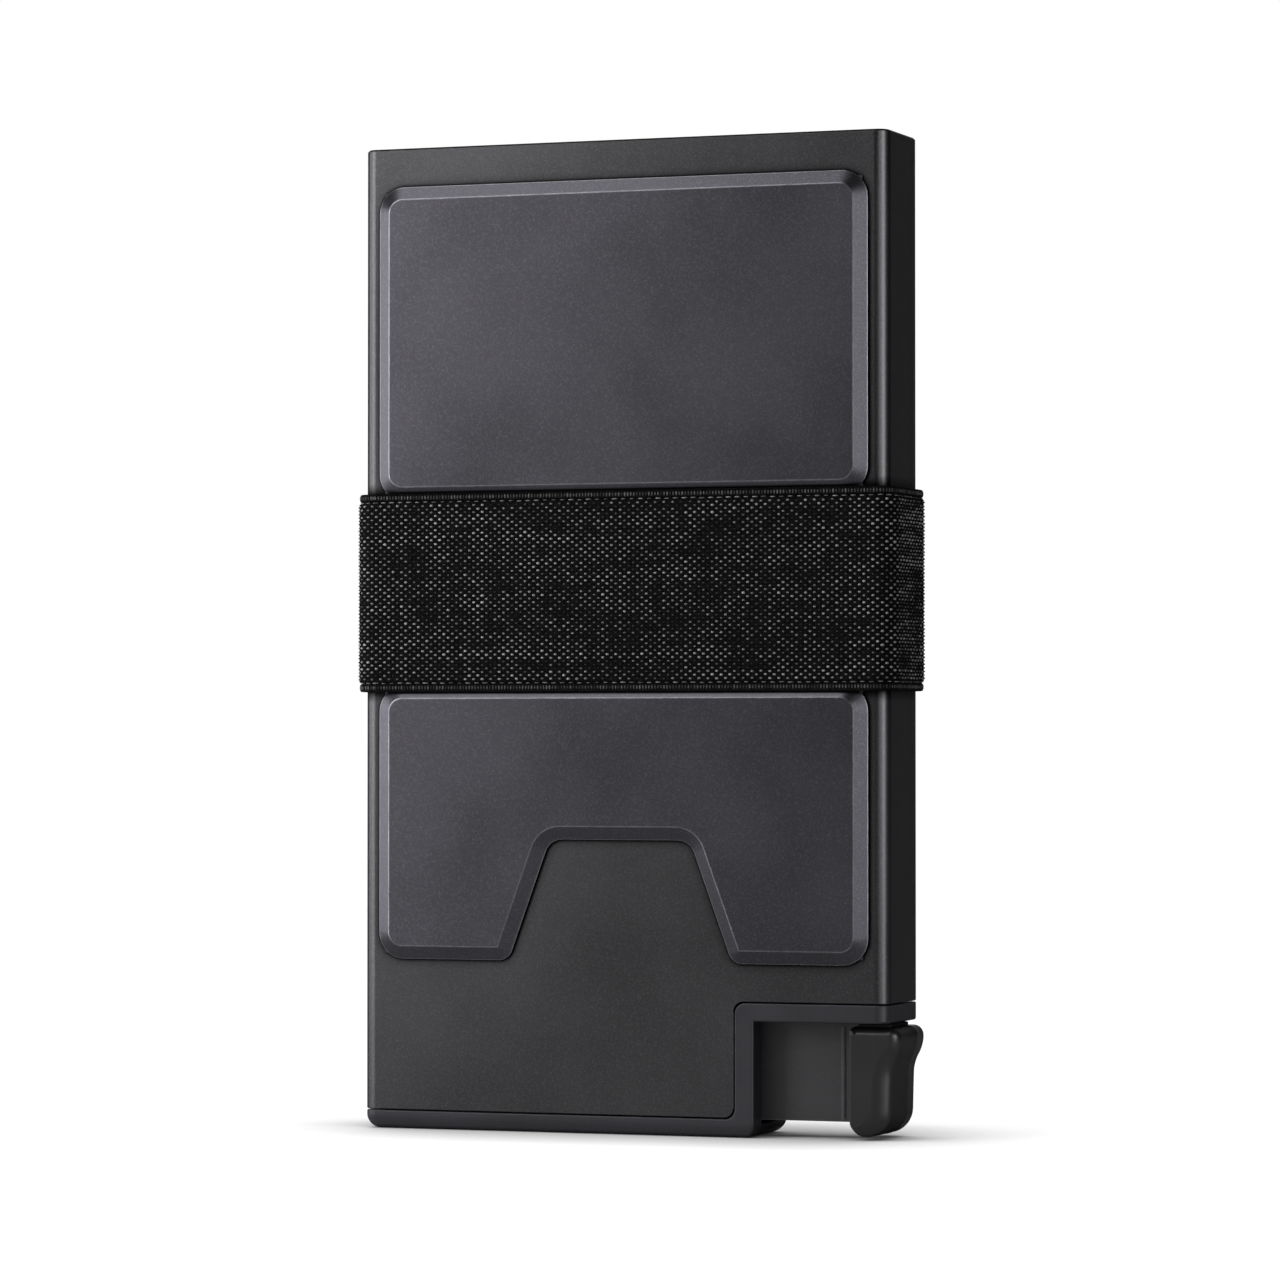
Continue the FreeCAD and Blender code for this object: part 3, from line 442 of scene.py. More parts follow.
# The plates' edges are lightened strongly: partly scuffing, mostly a painted highlight along the
# bevels.
plate_anodised = anodised(
    "plate_anodised", plate_grey, plate_wear_and_highlight, 0.35, 0.00017, 0.000006, soft_edge=0.00010, rub_and_highlight=45.0
)
dress("front_plate_upper", plate_anodised)
dress("front_plate_lower", plate_anodised)

bond_film, tree, output = new_material("bond_film")
film_shader = tree.nodes.new("ShaderNodeBsdfPrincipled")
film_shader.inputs["Specular IOR Level"].default_value = 0.3
film_streaks = tree.nodes.new("ShaderNodeTexNoise")
film_streaks.inputs["Scale"].default_value = 1500.0
film_place = tree.nodes.new("ShaderNodeTexCoord")
tree.links.new(film_place.outputs["Object"], film_streaks.inputs["Vector"])
film_colour = blend_colours(
    tree, (0.006, 0.006, 0.006, 1), (0.014, 0.014, 0.015, 1), film_streaks.outputs["Fac"]
)
tree.links.new(film_colour, film_shader.inputs["Base Color"])
film_gloss = remap(tree, film_streaks.outputs["Fac"], 0, 1, 0.45, 0.7)
tree.links.new(film_gloss, film_shader.inputs["Roughness"])
tree.links.new(film_shader.outputs[0], output.inputs["Surface"])
dress("bond_film_upper", bond_film)
dress("bond_film_lower", bond_film)


# Moulded pieces -----------------------------------------------------------------------------
# The end cap, the carrier's two cheeks, the card rest, the lever and the grip are moulded in
# glass-filled polymer with a fine eroded texture. The cap is the warmer grey of the plates, and
# the two bumpers are soft matt rubber.


def moulded(name, colour, roughness, grain_size, grain_depth, shine, soft_edge=0.0001, worn_and_highlit=1.9):
    """Moulded polymer: near-black body colour, fine eroded grain, and edges lightened by scuffing
    and, where strong, as a painted highlight.

    The grain shades itself at a low angle, so its shine fades there.
    """
    material, tree, output = new_material(name)
    shader = tree.nodes.new("ShaderNodeBsdfPrincipled")
    shader.inputs["Specular IOR Level"].default_value = shine
    grain = place_group(tree, blasted_grain, Grain_Size=grain_size, Cloud_Size=0.009)
    wear_and_light_masks = place_group(tree, wear_highlight_and_shade, Reach=0.0002, Strength=4.0)
    cloudiness = remap(tree, grain.outputs["Cloud"], 0.3, 0.6, 0, 1)
    clouds = blend_colours(tree, toned(colour, 0.8), colour, cloudiness)
    specks = remap(tree, grain.outputs["Speckle"], 0.5, 0.85, 0, 0.6)
    speckled = blend_colours(tree, clouds, toned(colour, 1.6), specks)
    # Lightened edges: scuffing, and with a large factor a painted highlight line.
    rubbed_and_highlit = blend_colours(tree, speckled, toned(colour, worn_and_highlit), wear_and_light_masks.outputs["Mask"])
    tree.links.new(rubbed_and_highlit, shader.inputs["Base Color"])
    gloss = remap(tree, grain.outputs["Cloud"], 0.3, 0.7, roughness - 0.03, roughness + 0.05)
    tree.links.new(gloss, shader.inputs["Roughness"])
    low_angle = tree.nodes.new("ShaderNodeLayerWeight")
    texture_shade = remap(tree, low_angle.outputs["Facing"], 0.35, 0.7, 1.5, 1.15)
    tree.links.new(texture_shade, shader.inputs["IOR"])
    show_skin(tree, shader, output, grain.outputs["Height"], grain_depth, soft_edge)
    return material


# The cap's, lever's and grip's larger edge factors paint highlight lines along their edges.
cap_polymer = moulded(
    "cap_polymer", (0.017, 0.0163, 0.0205, 1), 0.40, 0.00016, 0.000004, 0.28, worn_and_highlit=4.0
)
dress("bottom_cap", cap_polymer)

inner_polymer = moulded("inner_polymer", (0.012, 0.012, 0.013, 1), 0.5, 0.00014, 0.000005, 0.25)
for node in ("card_rest", "chassis_front", "chassis_rear"):
    dress(node, inner_polymer)

lever_polymer = moulded(
    "lever_polymer", (0.0225, 0.0228, 0.0247, 1), 0.42, 0.00016, 0.000004, 0.35, worn_and_highlit=6.0
)
dress("eject_lever", lever_polymer)

grip_polymer = moulded(
    "grip_polymer", (0.0048, 0.0048, 0.0054, 1), 0.37, 0.00016, 0.000003, 0.42, worn_and_highlit=10.0
)

bumper_rubber = moulded("bumper_rubber", (0.008, 0.008, 0.008, 1), 0.75, 0.00020, 0.000008, 0.2)
dress("rest_bumper", bumper_rubber)
dress("travel_bumper", bumper_rubber)


# Trigger grip -------------------------------------------------------------------------------
# Moulded finger grip on the end of the lever: a rolled lip at the top, a waist below it and a
# foot rounded off all round. Its outer corner is rolled far more than the one along the web,
# and a thin pad on its top closes the gap to the cap's strip.

grip_low, grip_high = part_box("trigger_grip")
grip_side = grip_high.x - 0.0010
lip_foot = grip_high.z - 0.0022
grip_waist = lip_foot - 0.0017
grip_corners = [
    (grip_low.x, grip_low.z, 0.0015),
    (grip_side - 0.0002, grip_low.z, 0.0026),
    (grip_side, grip_waist, 0.00095),
    (grip_high.x, lip_foot, 0.00095),
    (grip_high.x, grip_high.z, 0.0011),
    (grip_low.x, grip_high.z, 0.0003),
]
outline_spacing = 0.0006
grip_roll_depth = 0.0012
roll_outer = 0.0019
roll_lip = 0.0010
roll_inner = 0.00022
roll_top = 0.00085
roll_foot = 0.0020
lip_blend_drop = 0.0012
lip_blend = 0.0028
foot_core = 0.003
parting_line = 0.0016
parting_height = 0.00003
end_inset = 0.00012


def finish_piece(name, mesh, material, smooth=True, body="case"):
    """Turn a bmesh into an object that rides on a body and takes its slot's finish."""
    piece = object_of(name, mesh)
    for face in piece.data.polygons:
        face.use_smooth = smooth
    piece.data.materials.append(material)
    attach(piece, body)
    return piece


def settle_order(mesh):
    """Number corners, edges and faces by their place, so that every run stores them alike."""
    kinds = (
        (mesh.verts, lambda corner: corner.co),
        (mesh.edges, lambda edge: (edge.verts[0].co + edge.verts[1].co) / 2),
        (mesh.faces, lambda face: face.calc_center_median()),
    )
    for elements, place in kinds:
        ordered = sorted(elements, key=lambda item: tuple(round(at, 8) for at in place(item)))
        for number, item in enumerate(ordered):
            item.index = number
        elements.sort()


def roll_at(normal, height):
    """How far the grip's front edge rolls in, by the way the outline faces there."""
    rise = max(0.0, min(1.0, (height - grip_waist + lip_blend_drop) / lip_blend))
    outer = roll_outer + (roll_lip - roll_outer) * rise
    across = outer if normal.x > 0 else roll_inner
    upward = roll_top if normal.z > 0 else roll_foot
    return across * normal.x ** 2 + upward * normal.z ** 2


grip_mesh = bmesh.new()
outline = [grip_mesh.verts.new((across, 0, up)) for across, up, rounding in grip_corners]
grip_mesh.faces.new(outline)
for corner, (across, up, rounding) in zip(outline, grip_corners):
    bmesh.ops.bevel(
        grip_mesh, geom=[corner], offset=rounding, affect="VERTICES", segments=9, profile=0.5,
        material=-1,
    )
bmesh.ops.delete(grip_mesh, geom=list(grip_mesh.faces), context="FACES_ONLY")
for edge in [e for e in grip_mesh.edges if e.calc_length() > 1.5 * outline_spacing]:
    cuts = round(edge.calc_length() / outline_spacing) - 1
    bmesh.ops.subdivide_edges(grip_mesh, edges=[edge], cuts=cuts)
grip_shape = grip_mesh.verts.layers.float_vector.new("outline")
grip_facing = grip_mesh.verts.layers.float_vector.new("facing")
for point in grip_mesh.verts:
    ways = [(edge.other_vert(point).co - point.co).normalized() for edge in point.link_edges]
    tangent = (ways[0] - ways[1]).normalized()
    facing = Vector((tangent.z, 0, -tangent.x))
    core = max(grip_low.z + foot_core, min(point.co.z, grip_waist))
    middle = Vector(((grip_low.x + grip_side) / 2, 0, core))
    if facing.dot(point.co - middle) < 0:
        facing = -facing
    point[grip_shape] = point.co
    point[grip_facing] = facing

half_grip = (grip_high.y - grip_low.y) / 2
grip_sections = [
    (-half_grip + grip_roll_depth * (1 - math.sin(math.radians(angle))),
     1 - math.cos(math.radians(angle)), 0.0)
    for angle in range(90, -1, -10)
]
grip_sections += [
    (parting_line - 0.00010, 0.0, 0.0),
    (parting_line - 0.00004, 0.0, parting_height),
    (parting_line + 0.00004, 0.0, parting_height),
    (parting_line + 0.00010, 0.0, 0.0),
]
grip_sections += [(-depth, share, 0.0) for depth, share, proud in reversed(grip_sections[:10])]
ring = list(grip_mesh.edges)
for number, (depth, share, proud) in enumerate(grip_sections):
    if number:
        made = bmesh.ops.extrude_edge_only(grip_mesh, edges=ring)["geom"]
        points = {item for item in made if isinstance(item, bmesh.types.BMVert)}
        ring = [
            item for item in made
            if isinstance(item, bmesh.types.BMEdge) and all(v in points for v in item.verts)
        ]
    for point in {v for edge in ring for v in edge.verts}:
        facing = point[grip_facing]
        inward = roll_at(facing, point[grip_shape].z) * share - proud
        place = point[grip_shape] - facing * inward
        point.co = (place.x, depth, place.z)
    if number in (0, len(grip_sections) - 1):
        end = bmesh.ops.contextual_create(grip_mesh, geom=ring)["faces"]
        bmesh.ops.inset_region(grip_mesh, faces=end, thickness=end_inset)
bmesh.ops.recalc_face_normals(grip_mesh, faces=grip_mesh.faces)
settle_order(grip_mesh)

grip_shell = finish_piece("grip_shell", grip_mesh, grip_polymer, body="lever")
for face in grip_shell.data.polygons:
    face.use_smooth = len(face.vertices) == 4
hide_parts("trigger_grip")

# The pad is matt black and set back from the front: a dark piece filling the gap under the cap's
# strip, standing in for the shade there.
strip_gap = 0.00045
pad_clearance = 0.0001
pad_sunk = 0.0003
pad_set_back = 0.0018
pad_round = 0.00015
pad_low = Vector((grip_low.x + 0.0006, grip_low.y + pad_set_back, grip_high.z - pad_sunk))
pad_top = grip_high.z + strip_gap - pad_clearance
pad_high = Vector((grip_side - 0.0004, grip_high.y - pad_set_back, pad_top))
pad_mesh = bmesh.new()
bmesh.ops.create_cube(pad_mesh, size=1.0)
bmesh.ops.scale(pad_mesh, verts=pad_mesh.verts, vec=pad_high - pad_low)
bmesh.ops.translate(pad_mesh, verts=pad_mesh.verts, vec=(pad_low + pad_high) / 2)
bmesh.ops.bevel(
    pad_mesh, geom=list(pad_mesh.edges), offset=pad_round, affect="EDGES", segments=3, profile=0.5,
    material=-1,
)
finish_piece("grip_pad", pad_mesh, bumper_rubber, smooth=False, body="lever")


# Pivot, return spring and screws ------------------------------------------------------------
# Ground steel pin in a brass bush, a torsion spring wound from drawn wire, and small socket
# screws with an oxide finish. The card springs are blued strip steel.


def turned_metal(name, colour, roughness, streak, tint=0.8):
    """Drawn or turned metal: fine streaks round its axis, and a little staining."""
    material, tree, output = new_material(name)
    shader = tree.nodes.new("ShaderNodeBsdfPrincipled")
    shader.inputs["Metallic"].default_value = 1.0
    shader.inputs["Specular Tint"].default_value = (tint, tint, tint, 1)
    place = tree.nodes.new("ShaderNodeTexCoord")
    stretch = tree.nodes.new("ShaderNodeMapping")
    stretch.inputs["Scale"].default_value = streak
    streaks = tree.nodes.new("ShaderNodeTexNoise")
    streaks.inputs["Scale"].default_value = 1.0
    streaks.inputs["Detail"].default_value = 4.0
    tree.links.new(place.outputs["Object"], stretch.inputs["Vector"])
    tree.links.new(stretch.outputs[0], streaks.inputs["Vector"])
    staining = remap(tree, streaks.outputs["Fac"], 0.35, 0.65, 0, 1)
    streaked = blend_colours(tree, toned(colour, 0.72), colour, staining)
    tree.links.new(streaked, shader.inputs["Base Color"])
    gloss = remap(tree, streaks.outputs["Fac"], 0.3, 0.7, roughness - 0.06, roughness + 0.1)
    tree.links.new(gloss, shader.inputs["Roughness"])
    show_skin(tree, shader, output, streaks.outputs["Fac"], 0.000003)
    return material


dress("pivot_pin", turned_metal("pin_steel", (0.42, 0.42, 0.43, 1), 0.25, (900, 9000, 900)))
dress("lever_bush", turned_metal("bush_brass", (0.55, 0.40, 0.18, 1), 0.32, (700, 8000, 700)))
dress("return_spring", turned_metal("spring_steel", (0.30, 0.30, 0.31, 1), 0.3, (6000, 900, 6000)))
screw_steel = turned_metal("screw_steel", (0.035, 0.035, 0.037, 1), 0.38, (5000, 5000, 5000), 0.5)
dress("chassis_screws", screw_steel)
dress("cap_screws", screw_steel)
leaf_steel = turned_metal("leaf_steel", (0.16, 0.17, 0.20, 1), 0.3, (9000, 9000, 700))
dress("card_spring_left", leaf_steel)
dress("card_spring_right", leaf_steel)


# Elastic band -------------------------------------------------------------------------------
# Woven elastic webbing stretched round the sleeve between the two plates. Its two hems are
# thinner and ribbed, they lap over the plates' bevels, and its ends are sewn in a lap behind.

sleeve_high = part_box("case_tube")[1]
band_low, band_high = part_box("elastic_band")
half_width = sleeve_high.x
half_depth = sleeve_high.y
sleeve_corner = 0.0014
plate_half_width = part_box("front_plate_upper")[1].x
upper_plate_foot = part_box("front_plate_upper")[0].z
lower_plate_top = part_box("front_plate_lower")[1].z
hem_height = 0.00088
hem_proud = 0.00080
weave_proud = 0.00088
groove_proud = 0.00066
hem_round = 0.00022
lap_half_width = 0.0060
lap_face = band_high.y - 0.00006
lap_rise = lap_face - half_depth - weave_proud + 0.00006
skin_gap = 0.00004
bevel_foot_proud = 0.00030
bevel_slope = 0.8 / 1.4


def outward(point):
    """The foot on the sleeve's inner rectangle, and the direction straight out of the sleeve."""
    reach_x = half_width - sleeve_corner
    reach_y = half_depth - sleeve_corner
    foot = Vector((max(-reach_x, min(reach_x, point.x)), max(-reach_y, min(reach_y, point.y)), 0))
    away = Vector((point.x, point.y, 0)) - foot
    return foot, away.normalized()


def on_band(point, level, proud):
    """The point on the band straight out from a point of the sleeve's outline."""
    foot, away = outward(point)
    place = foot + away * (sleeve_corner + proud)
    return Vector((place.x, place.y, level))


def over_plate(point):
    """True on the front where the plates lie behind the band's hems."""
    foot, away = outward(point)
    return away.y < -0.9 and abs(point.x) < plate_half_width + 0.0002


def inner_proud(point, level):
    """How far the band's inside stands off the sleeve: more where a hem lies on a bevel."""
    past = max(level - upper_plate_foot, lower_plate_top - level)
    if not over_plate(point) or past < 0:
        return skin_gap
    return bevel_foot_proud + past * bevel_slope


def outer_proud(point, level, proud):
    """The outside stays clear of the inside where the hem rides up a bevel."""
    lifted = inner_proud(point, level) + 0.00022
    return max(proud, lifted) if lifted > 0.0004 else proud


def outline_ring(mesh, spacing):
    """A ring of edges round the sleeve's outline, with points this far apart on its straights."""
    corners = [
        mesh.verts.new((across * half_width, deep * half_depth, 0))
        for across, deep in ((-1, -1), (1, -1), (1, 1), (-1, 1))
    ]
    face = mesh.faces.new(corners)
    bmesh.ops.bevel(
        mesh, geom=corners, offset=sleeve_corner, affect="VERTICES", segments=8, profile=0.5,
        material=-1,
    )
    bmesh.ops.delete(mesh, geom=list(mesh.faces), context="FACES_ONLY")
    for edge in [e for e in mesh.edges if e.calc_length() > 4 * spacing]:
        cuts = round(edge.calc_length() / spacing) - 1
        bmesh.ops.subdivide_edges(mesh, edges=[edge], cuts=cuts)
    return list(mesh.edges)


def raise_ring(mesh, ring, level, proud_at):
    """Extrude the ring to a new level, with its own distance off the sleeve."""
    made = bmesh.ops.extrude_edge_only(mesh, edges=ring)["geom"]
    points = {item for item in made if isinstance(item, bmesh.types.BMVert)}
    for point in points:
        point.co = on_band(point.co, level, proud_at(point.co, level))
    return [
        item for item in made
        if isinstance(item, bmesh.types.BMEdge) and all(v in points for v in item.verts)
    ]


band_foot = band_low.z
band_top = band_high.z
weave_foot = band_foot + hem_height + 0.0001
weave_top = band_top - hem_height - 0.0001
outer_levels = [
    (band_foot + 0.00002, hem_proud - hem_round),
    (band_foot + hem_round * 0.3, hem_proud - hem_round * 0.3),
    (band_foot + hem_round, hem_proud),
    (weave_foot - 0.00022, hem_proud),
    (weave_foot - 0.00010, groove_proud),
    (weave_foot, groove_proud),
    (weave_foot + 0.00012, weave_proud),
    (weave_top - 0.00012, weave_proud),
    (weave_top, groove_proud),
    (weave_top + 0.00010, groove_proud),
    (weave_top + 0.00022, hem_proud),
    (band_top - hem_round, hem_proud),
    (band_top - hem_round * 0.3, hem_proud - hem_round * 0.3),
    (band_top - 0.00002, hem_proud - hem_round),
]
inner_levels = [
    band_top, upper_plate_foot, upper_plate_foot - 0.0001,
    lower_plate_top + 0.0001, lower_plate_top, band_foot,
]

band_mesh = bmesh.new()
ring = outline_ring(band_mesh, 0.0006)
for point in {v for edge in ring for v in edge.verts}:
    point.co = on_band(point.co, band_foot, inner_proud(point.co, band_foot))
for level, proud in outer_levels:
    ring = raise_ring(
        band_mesh, ring, level, lambda at, height, out=proud: outer_proud(at, height, out)
    )
for level in inner_levels:
    ring = raise_ring(band_mesh, ring, level, inner_proud)
bmesh.ops.remove_doubles(band_mesh, verts=band_mesh.verts, dist=0.0000002)
bmesh.ops.recalc_face_normals(band_mesh, faces=band_mesh.faces)
settle_order(band_mesh)


def path_lengths(proud):
    """The lengths of the band's eight stretches, from the front left corner round to the right."""
    front = 2 * (half_width - sleeve_corner)
    side = 2 * (half_depth - sleeve_corner)
    turn = math.pi / 2 * (sleeve_corner + proud)
    return [front, turn, side, turn, front, turn, side, turn]


def along_band(distance, proud):
    """The place and the outward angle at a distance along the band."""
    reach_x = half_width - sleeve_corner
    reach_y = half_depth - sleeve_corner
    feet = [(-reach_x, -reach_y), (reach_x, -reach_y), (reach_x, reach_y), (-reach_x, reach_y)]
    left = distance
    for number, length in enumerate(path_lengths(proud)):
        if left <= length or number == 7:
            break
        left -= length
    corner = number // 2
    angle = -math.pi / 2 + corner * math.pi / 2
    if number % 2 == 0:
        foot = Vector(feet[corner] + (0,))
        forward = Vector((math.cos(angle + math.pi / 2), math.sin(angle + math.pi / 2), 0))
        place = foot + forward * left
    else:
        place = Vector(feet[(corner + 1) % 4] + (0,))
        angle += left / (sleeve_corner + proud)
    away = Vector((math.cos(angle), math.sin(angle), 0))
    return place + away * (sleeve_corner + proud), angle


def yarn_float(mesh, length, height, proud):
    """One float of yarn: a low six-sided bead that lies along the band with its foot sunk in."""
    made = bmesh.ops.create_cone(
        mesh, cap_ends=True, segments=6, radius1=0.5, radius2=0.32, depth=1.0
    )["verts"]
    bmesh.ops.rotate(mesh, verts=made, matrix=Matrix.Rotation(math.pi / 2, 3, "Y"))
    bmesh.ops.scale(mesh, verts=made, vec=(proud, length, height))
    return made


band_around = sum(path_lengths(weave_proud))
float_pitch = band_around / round(band_around / 0.00098)
float_row = 0.00037
float_length = 0.00044
float_height = 0.00029
float_proud = 0.00022


def float_row_mesh(mesh, shift, count, pitch, size, proud):
    """A row of floats right round the band, as new vertices in the mesh."""
    seed = bmesh.new()
    yarn_float(seed, *size)
    template = bpy.data.meshes.new("float_template")
    seed.to_mesh(template)
    seed.free()
    for number in range(count):
        distance = ((number + shift) * pitch) % band_around
        place, angle = along_band(distance, proud)
        behind = place.y > half_depth and abs(place.x) < lap_half_width - 0.0002
        if behind:
            place.y += lap_rise
        before = len(mesh.verts)
        mesh.from_mesh(template)
        mesh.verts.ensure_lookup_table()
        fresh = mesh.verts[before:]
        turn = Matrix.Translation(place) @ Matrix.Rotation(angle, 4, "Z")
        bmesh.ops.transform(mesh, matrix=turn, verts=fresh)
    bpy.data.meshes.remove(template)


def stack_rows(name, rows, shift_of, pitch, size, proud, material, tone):
    """Rows of floats up the band, each float with its own size, lift and tone."""
    count = round(band_around / pitch)
    piece = bmesh.new()
    shade = piece.verts.layers.float.new("yarn_tone")
    ready = {}
    for row, level in enumerate(rows):
        shift = shift_of(row)
        if shift not in ready:
            single = bmesh.new()
            float_row_mesh(single, shift, count, pitch, size, proud)
            ready[shift] = bpy.data.meshes.new("row_template")
            single.to_mesh(ready[shift])
            single.free()
        before = len(piece.verts)
        piece.from_mesh(ready[shift])
        piece.verts.ensure_lookup_table()
        fresh = piece.verts[before:]
        bmesh.ops.translate(piece, verts=fresh, vec=(0, 0, level))
        per_float = len(fresh) // count
        for number in range(count):
            bead = fresh[number * per_float:(number + 1) * per_float]
            middle = sum((v.co for v in bead), Vector()) / per_float
            grow, lift, value = tone(middle)
            for vertex in bead:
                vertex.co = middle + (vertex.co - middle) * grow + Vector((0, 0, lift))
                vertex[shade] = value
    for data in ready.values():
        bpy.data.meshes.remove(data)
    return finish_piece(name, piece, material)


def band_coordinate(point):
    """Distance round the band, roughly, and height, for patterns in the weave."""
    foot, away = outward(point)
    turn = math.atan2(away.y, away.x)
    return Vector((foot.x * (1 if away.y < 0 else -1) + turn * 0.003, foot.y + turn * 0.01, point.z))


yarn_draw = random.Random(41)


def weave_tone(middle):
    """Melange: patches where the pale yarn shows, and others where it hardly does."""
    at = band_coordinate(middle)
    patch = noise.noise(at * 260.0) * 0.5 + noise.noise(Vector((at.x * 90, at.y * 90, at.z * 900)))
    column = noise.noise(Vector((at.x * 1400, at.y * 1400, at.z * 60)))
    strength = 0.42 + 0.5 * patch + 0.3 * column + yarn_draw.uniform(-0.3, 0.3)
    strength = max(0.02, min(1.0, strength))
    grow = 0.82 + 0.3 * strength + yarn_draw.uniform(-0.08, 0.08)
    return grow, yarn_draw.uniform(-0.00003, 0.00003), strength


def hem_tone(middle):
    """Ribs of the hems: all dark, some a little less."""
    return 1.0 + yarn_draw.uniform(-0.15, 0.15), 0.0, yarn_draw.uniform(0.0, 0.5)


def selvedge_tone(middle):
    """Dashes of the selvedge: uneven in length and in tone."""
    grow = 1.0 + yarn_draw.uniform(-0.25, 0.2)
    return grow, yarn_draw.uniform(-0.00003, 0.00003), yarn_draw.uniform(0.15, 0.75)


def woven_yarn(name, dark, pale, roughness):
    """Polyester yarn: each float between a dark and a pale tone, with fibres along it."""
    material, tree, output = new_material(name)
    shader = tree.nodes.new("ShaderNodeBsdfPrincipled")
    shader.inputs["Specular IOR Level"].default_value = 0.1
    shader.inputs["Sheen Weight"].default_value = 0.03
    shader.inputs["Sheen Roughness"].default_value = 0.4
    tone = tree.nodes.new("ShaderNodeAttribute")
    tone.attribute_name = "yarn_tone"
    place = tree.nodes.new("ShaderNodeTexCoord")
    fibres = tree.nodes.new("ShaderNodeTexNoise")
    fibres.inputs["Scale"].default_value = 16000.0
    tree.links.new(place.outputs["Object"], fibres.inputs["Vector"])
    yarn = blend_colours(tree, dark, pale, tone.outputs["Fac"])
    shadowed = blend_colours(tree, yarn, dark, remap(tree, fibres.outputs["Fac"], 0.45, 0.7, 0, 0.6))
    tree.links.new(shadowed, shader.inputs["Base Color"])
    tree.links.new(remap(tree, fibres.outputs["Fac"], 0, 1, roughness, roughness + 0.2),
                   shader.inputs["Roughness"])
    show_skin(tree, shader, output, fibres.outputs["Fac"], 0.00001)
    return material


def ground_cloth():
    """The band's ground: black rubber and yarn, with a fine rib of warp showing between floats."""
    material, tree, output = new_material("band_ground")
    shader = tree.nodes.new("ShaderNodeBsdfPrincipled")
    shader.inputs["Specular IOR Level"].default_value = 0.02
    place = tree.nodes.new("ShaderNodeTexCoord")
    ribs = tree.nodes.new("ShaderNodeTexWave")
    ribs.wave_type = "BANDS"
    ribs.bands_direction = "Z"
    ribs.inputs["Scale"].default_value = 2 * math.pi / float_row / 20
    ribs.inputs["Distortion"].default_value = 1.5
    fuzz = tree.nodes.new("ShaderNodeTexNoise")
    fuzz.inputs["Scale"].default_value = 7000.0
    tree.links.new(place.outputs["Object"], ribs.inputs["Vector"])
    tree.links.new(place.outputs["Object"], fuzz.inputs["Vector"])
    colour = blend_colours(
        tree, (0.001, 0.001, 0.001, 1), (0.0075, 0.0075, 0.008, 1),
        remap(tree, fuzz.outputs["Fac"], 0.4, 0.75, 0, 1),
    )
    tree.links.new(colour, shader.inputs["Base Color"])
    tree.links.new(remap(tree, fuzz.outputs["Fac"], 0, 1, 0.7, 0.95), shader.inputs["Roughness"])
    height = tree.nodes.new("ShaderNodeMath")
    height.operation = "ADD"
    tree.links.new(ribs.outputs["Fac"], height.inputs[0])
    tree.links.new(fuzz.outputs["Fac"], height.inputs[1])
    show_skin(tree, shader, output, height.outputs[0], 0.00003)
    return material


band_ground = ground_cloth()
band_yarn = woven_yarn("band_yarn", (0.003, 0.003, 0.0032, 1), (0.29, 0.29, 0.294, 1), 0.5)
hem_yarn = woven_yarn("hem_yarn", (0.006, 0.006, 0.006, 1), (0.14, 0.14, 0.142, 1), 0.6)

webbing = finish_piece("band_webbing", band_mesh, band_ground, smooth=False)
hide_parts("elastic_band")

row_count = int((weave_top - weave_foot - 0.0004) / float_row)
first_row = (weave_foot + weave_top) / 2 - (row_count - 1) / 2 * float_row
weave_rows = [first_row + number * float_row for number in range(row_count)]
weave_floats = stack_rows(
    "band_weave", weave_rows, lambda row: 0.5 * (row % 2), float_pitch,
    (float_length, float_height, float_proud), weave_proud, band_yarn, weave_tone,
)
dash_size = (0.00072, 0.00016, 0.00020)
selvedge_rows = [weave_foot - 0.00002, weave_top + 0.00002]
selvedge = stack_rows(
    "band_selvedge", selvedge_rows, lambda row: 0.25, float_pitch,
    dash_size, groove_proud + 0.00004, band_yarn, selvedge_tone,
)
hem_rows = [band_foot + hem_height / 2 + 0.00002, band_top - hem_height / 2 - 0.00002]
rib_size = (0.00024, 0.00056, 0.00008)
rib_pitch = band_around / round(band_around / 0.00034)
hem_ribs = stack_rows(
    "band_hem_ribs", hem_rows, lambda row: 0.0, rib_pitch,
    rib_size, hem_proud, hem_yarn, hem_tone,
)


# Lap and its sewing -------------------------------------------------------------------------
# Behind the case the band's end is folded over and sewn down with two columns of thick thread.

lap_mesh = bmesh.new()
bmesh.ops.create_cube(lap_mesh, size=1.0)
lap_foot = half_depth + weave_proud - 0.0001
bmesh.ops.scale(
    lap_mesh, verts=lap_mesh.verts,
    vec=(2 * lap_half_width, lap_face - lap_foot, band_top - band_foot - 0.0001),
)
bmesh.ops.translate(
    lap_mesh, verts=lap_mesh.verts,
    vec=(0, (lap_face + lap_foot) / 2, (band_top + band_foot) / 2),
)
bmesh.ops.bevel(
    lap_mesh, geom=list(lap_mesh.edges), offset=0.00025, affect="EDGES", segments=3,
    profile=0.5, material=-1,
)
lap = finish_piece("band_lap", lap_mesh, band_ground)

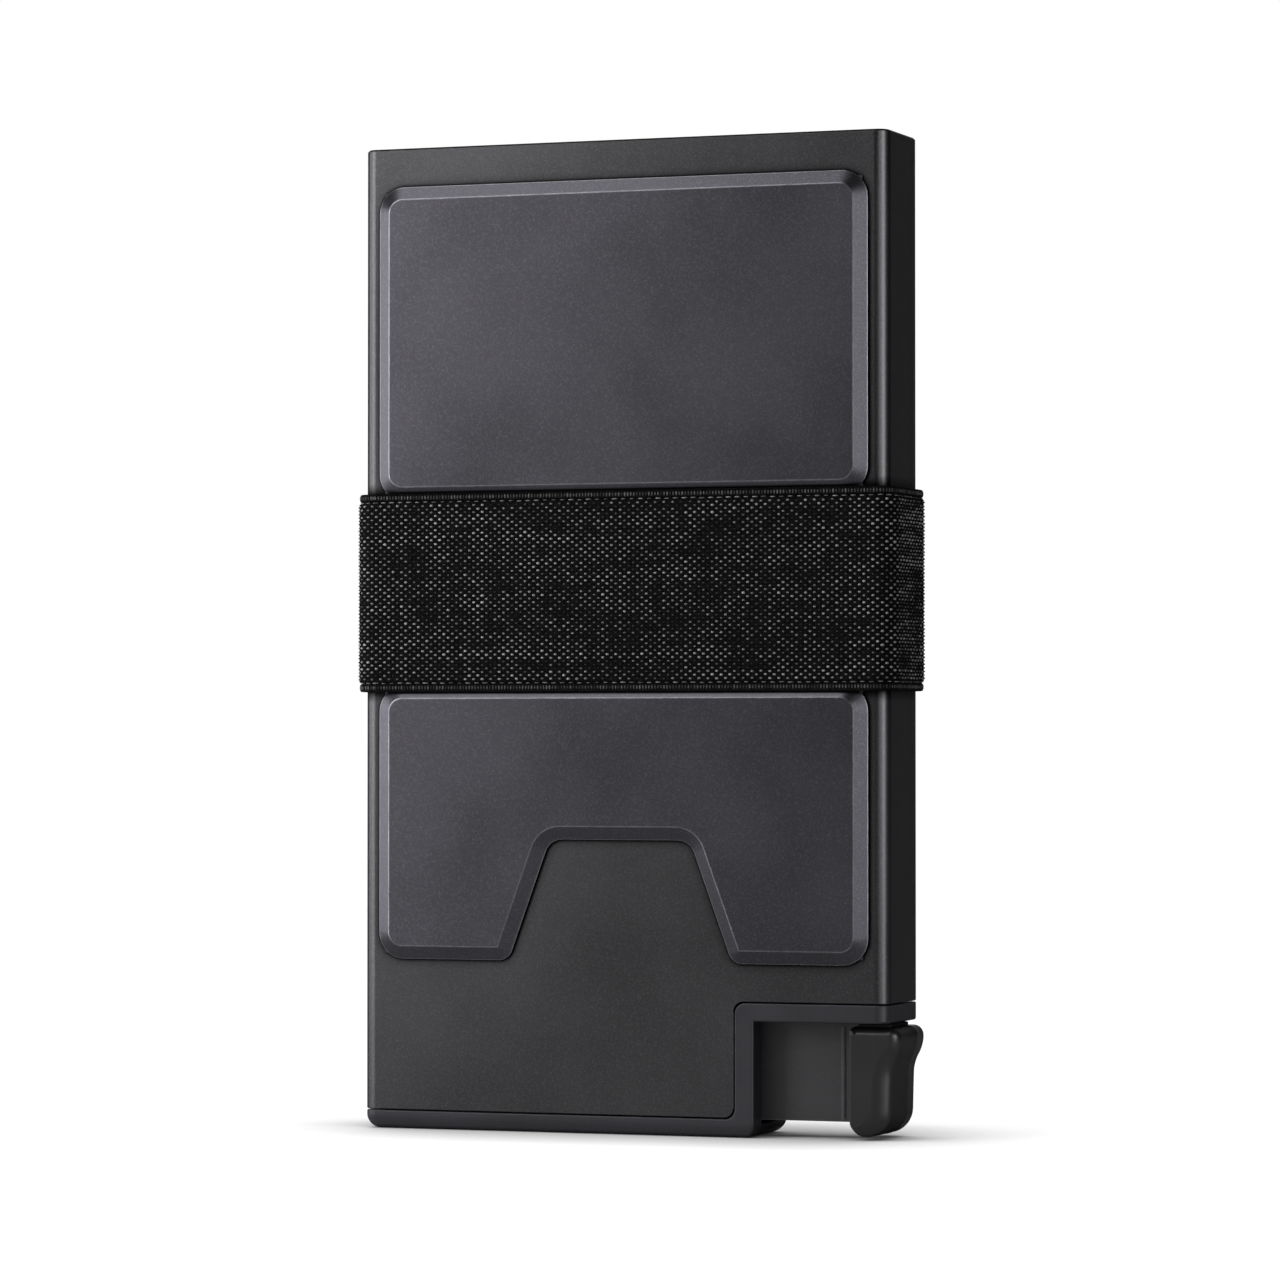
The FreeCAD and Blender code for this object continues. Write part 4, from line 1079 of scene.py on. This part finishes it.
stitch_low, stitch_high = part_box("band_stitching")
stitch_mesh = bmesh.new()
stitch_radius = (stitch_high.y - lap_face) / 2
column_x = stitch_high.x - stitch_radius
stitch_width = 0.00042
stitch_depth = 0.00030
stitch_length = 0.0015
stitch_pitch = 0.0022
stitch_count = round((stitch_high.z - stitch_low.z - stitch_length) / stitch_pitch) + 1
for side in (-1, 1):
    for number in range(stitch_count):
        made = bmesh.ops.create_uvsphere(
            stitch_mesh, u_segments=10, v_segments=8, radius=0.5
        )["verts"]
        bmesh.ops.scale(stitch_mesh, verts=made, vec=(stitch_width, stitch_depth, stitch_length))
        middle = stitch_low.z + stitch_length / 2 + number * stitch_pitch
        bmesh.ops.translate(
            stitch_mesh, verts=made,
            vec=(side * column_x, stitch_high.y - stitch_depth / 2, middle),
        )
thread = woven_yarn("thread", (0.02, 0.02, 0.02, 1), (0.11, 0.11, 0.113, 1), 0.45)
settle_order(stitch_mesh)
stitches = finish_piece("lap_stitches", stitch_mesh, thread)
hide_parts("band_stitching")


# Felt ---------------------------------------------------------------------------------------
# Two strips of black felt inside the mouth hold the cards without scratching them.

felt_pile, tree, output = new_material("felt_pile")
felt_shader = tree.nodes.new("ShaderNodeBsdfPrincipled")
felt_shader.inputs["Specular IOR Level"].default_value = 0.1
felt_shader.inputs["Sheen Weight"].default_value = 0.4
felt_place = tree.nodes.new("ShaderNodeTexCoord")
felt_fibres = tree.nodes.new("ShaderNodeTexNoise")
felt_fibres.inputs["Scale"].default_value = 5000.0
felt_fibres.inputs["Detail"].default_value = 5.0
tree.links.new(felt_place.outputs["Object"], felt_fibres.inputs["Vector"])
felt_colour = blend_colours(
    tree, (0.006, 0.006, 0.007, 1), (0.05, 0.05, 0.054, 1),
    remap(tree, felt_fibres.outputs["Fac"], 0.35, 0.7, 0, 1),
)
tree.links.new(felt_colour, felt_shader.inputs["Base Color"])
felt_gloss = remap(tree, felt_fibres.outputs["Fac"], 0, 1, 0.85, 1.0)
tree.links.new(felt_gloss, felt_shader.inputs["Roughness"])
show_skin(tree, felt_shader, output, felt_fibres.outputs["Fac"], 0.00006)

for node in ("felt_strip_front", "felt_strip_rear"):
    low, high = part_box(node)
    strip = bmesh.new()
    bmesh.ops.create_cube(strip, size=1.0)
    bmesh.ops.scale(strip, verts=strip.verts, vec=tuple(high - low))
    bmesh.ops.translate(strip, verts=strip.verts, vec=tuple((low + high) / 2))
    bmesh.ops.bevel(
        strip, geom=list(strip.edges), offset=0.00012, affect="EDGES", segments=2, profile=0.5,
        material=-1,
    )
    piece = finish_piece(node + "_pile", strip, felt_pile)
    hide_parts(node)
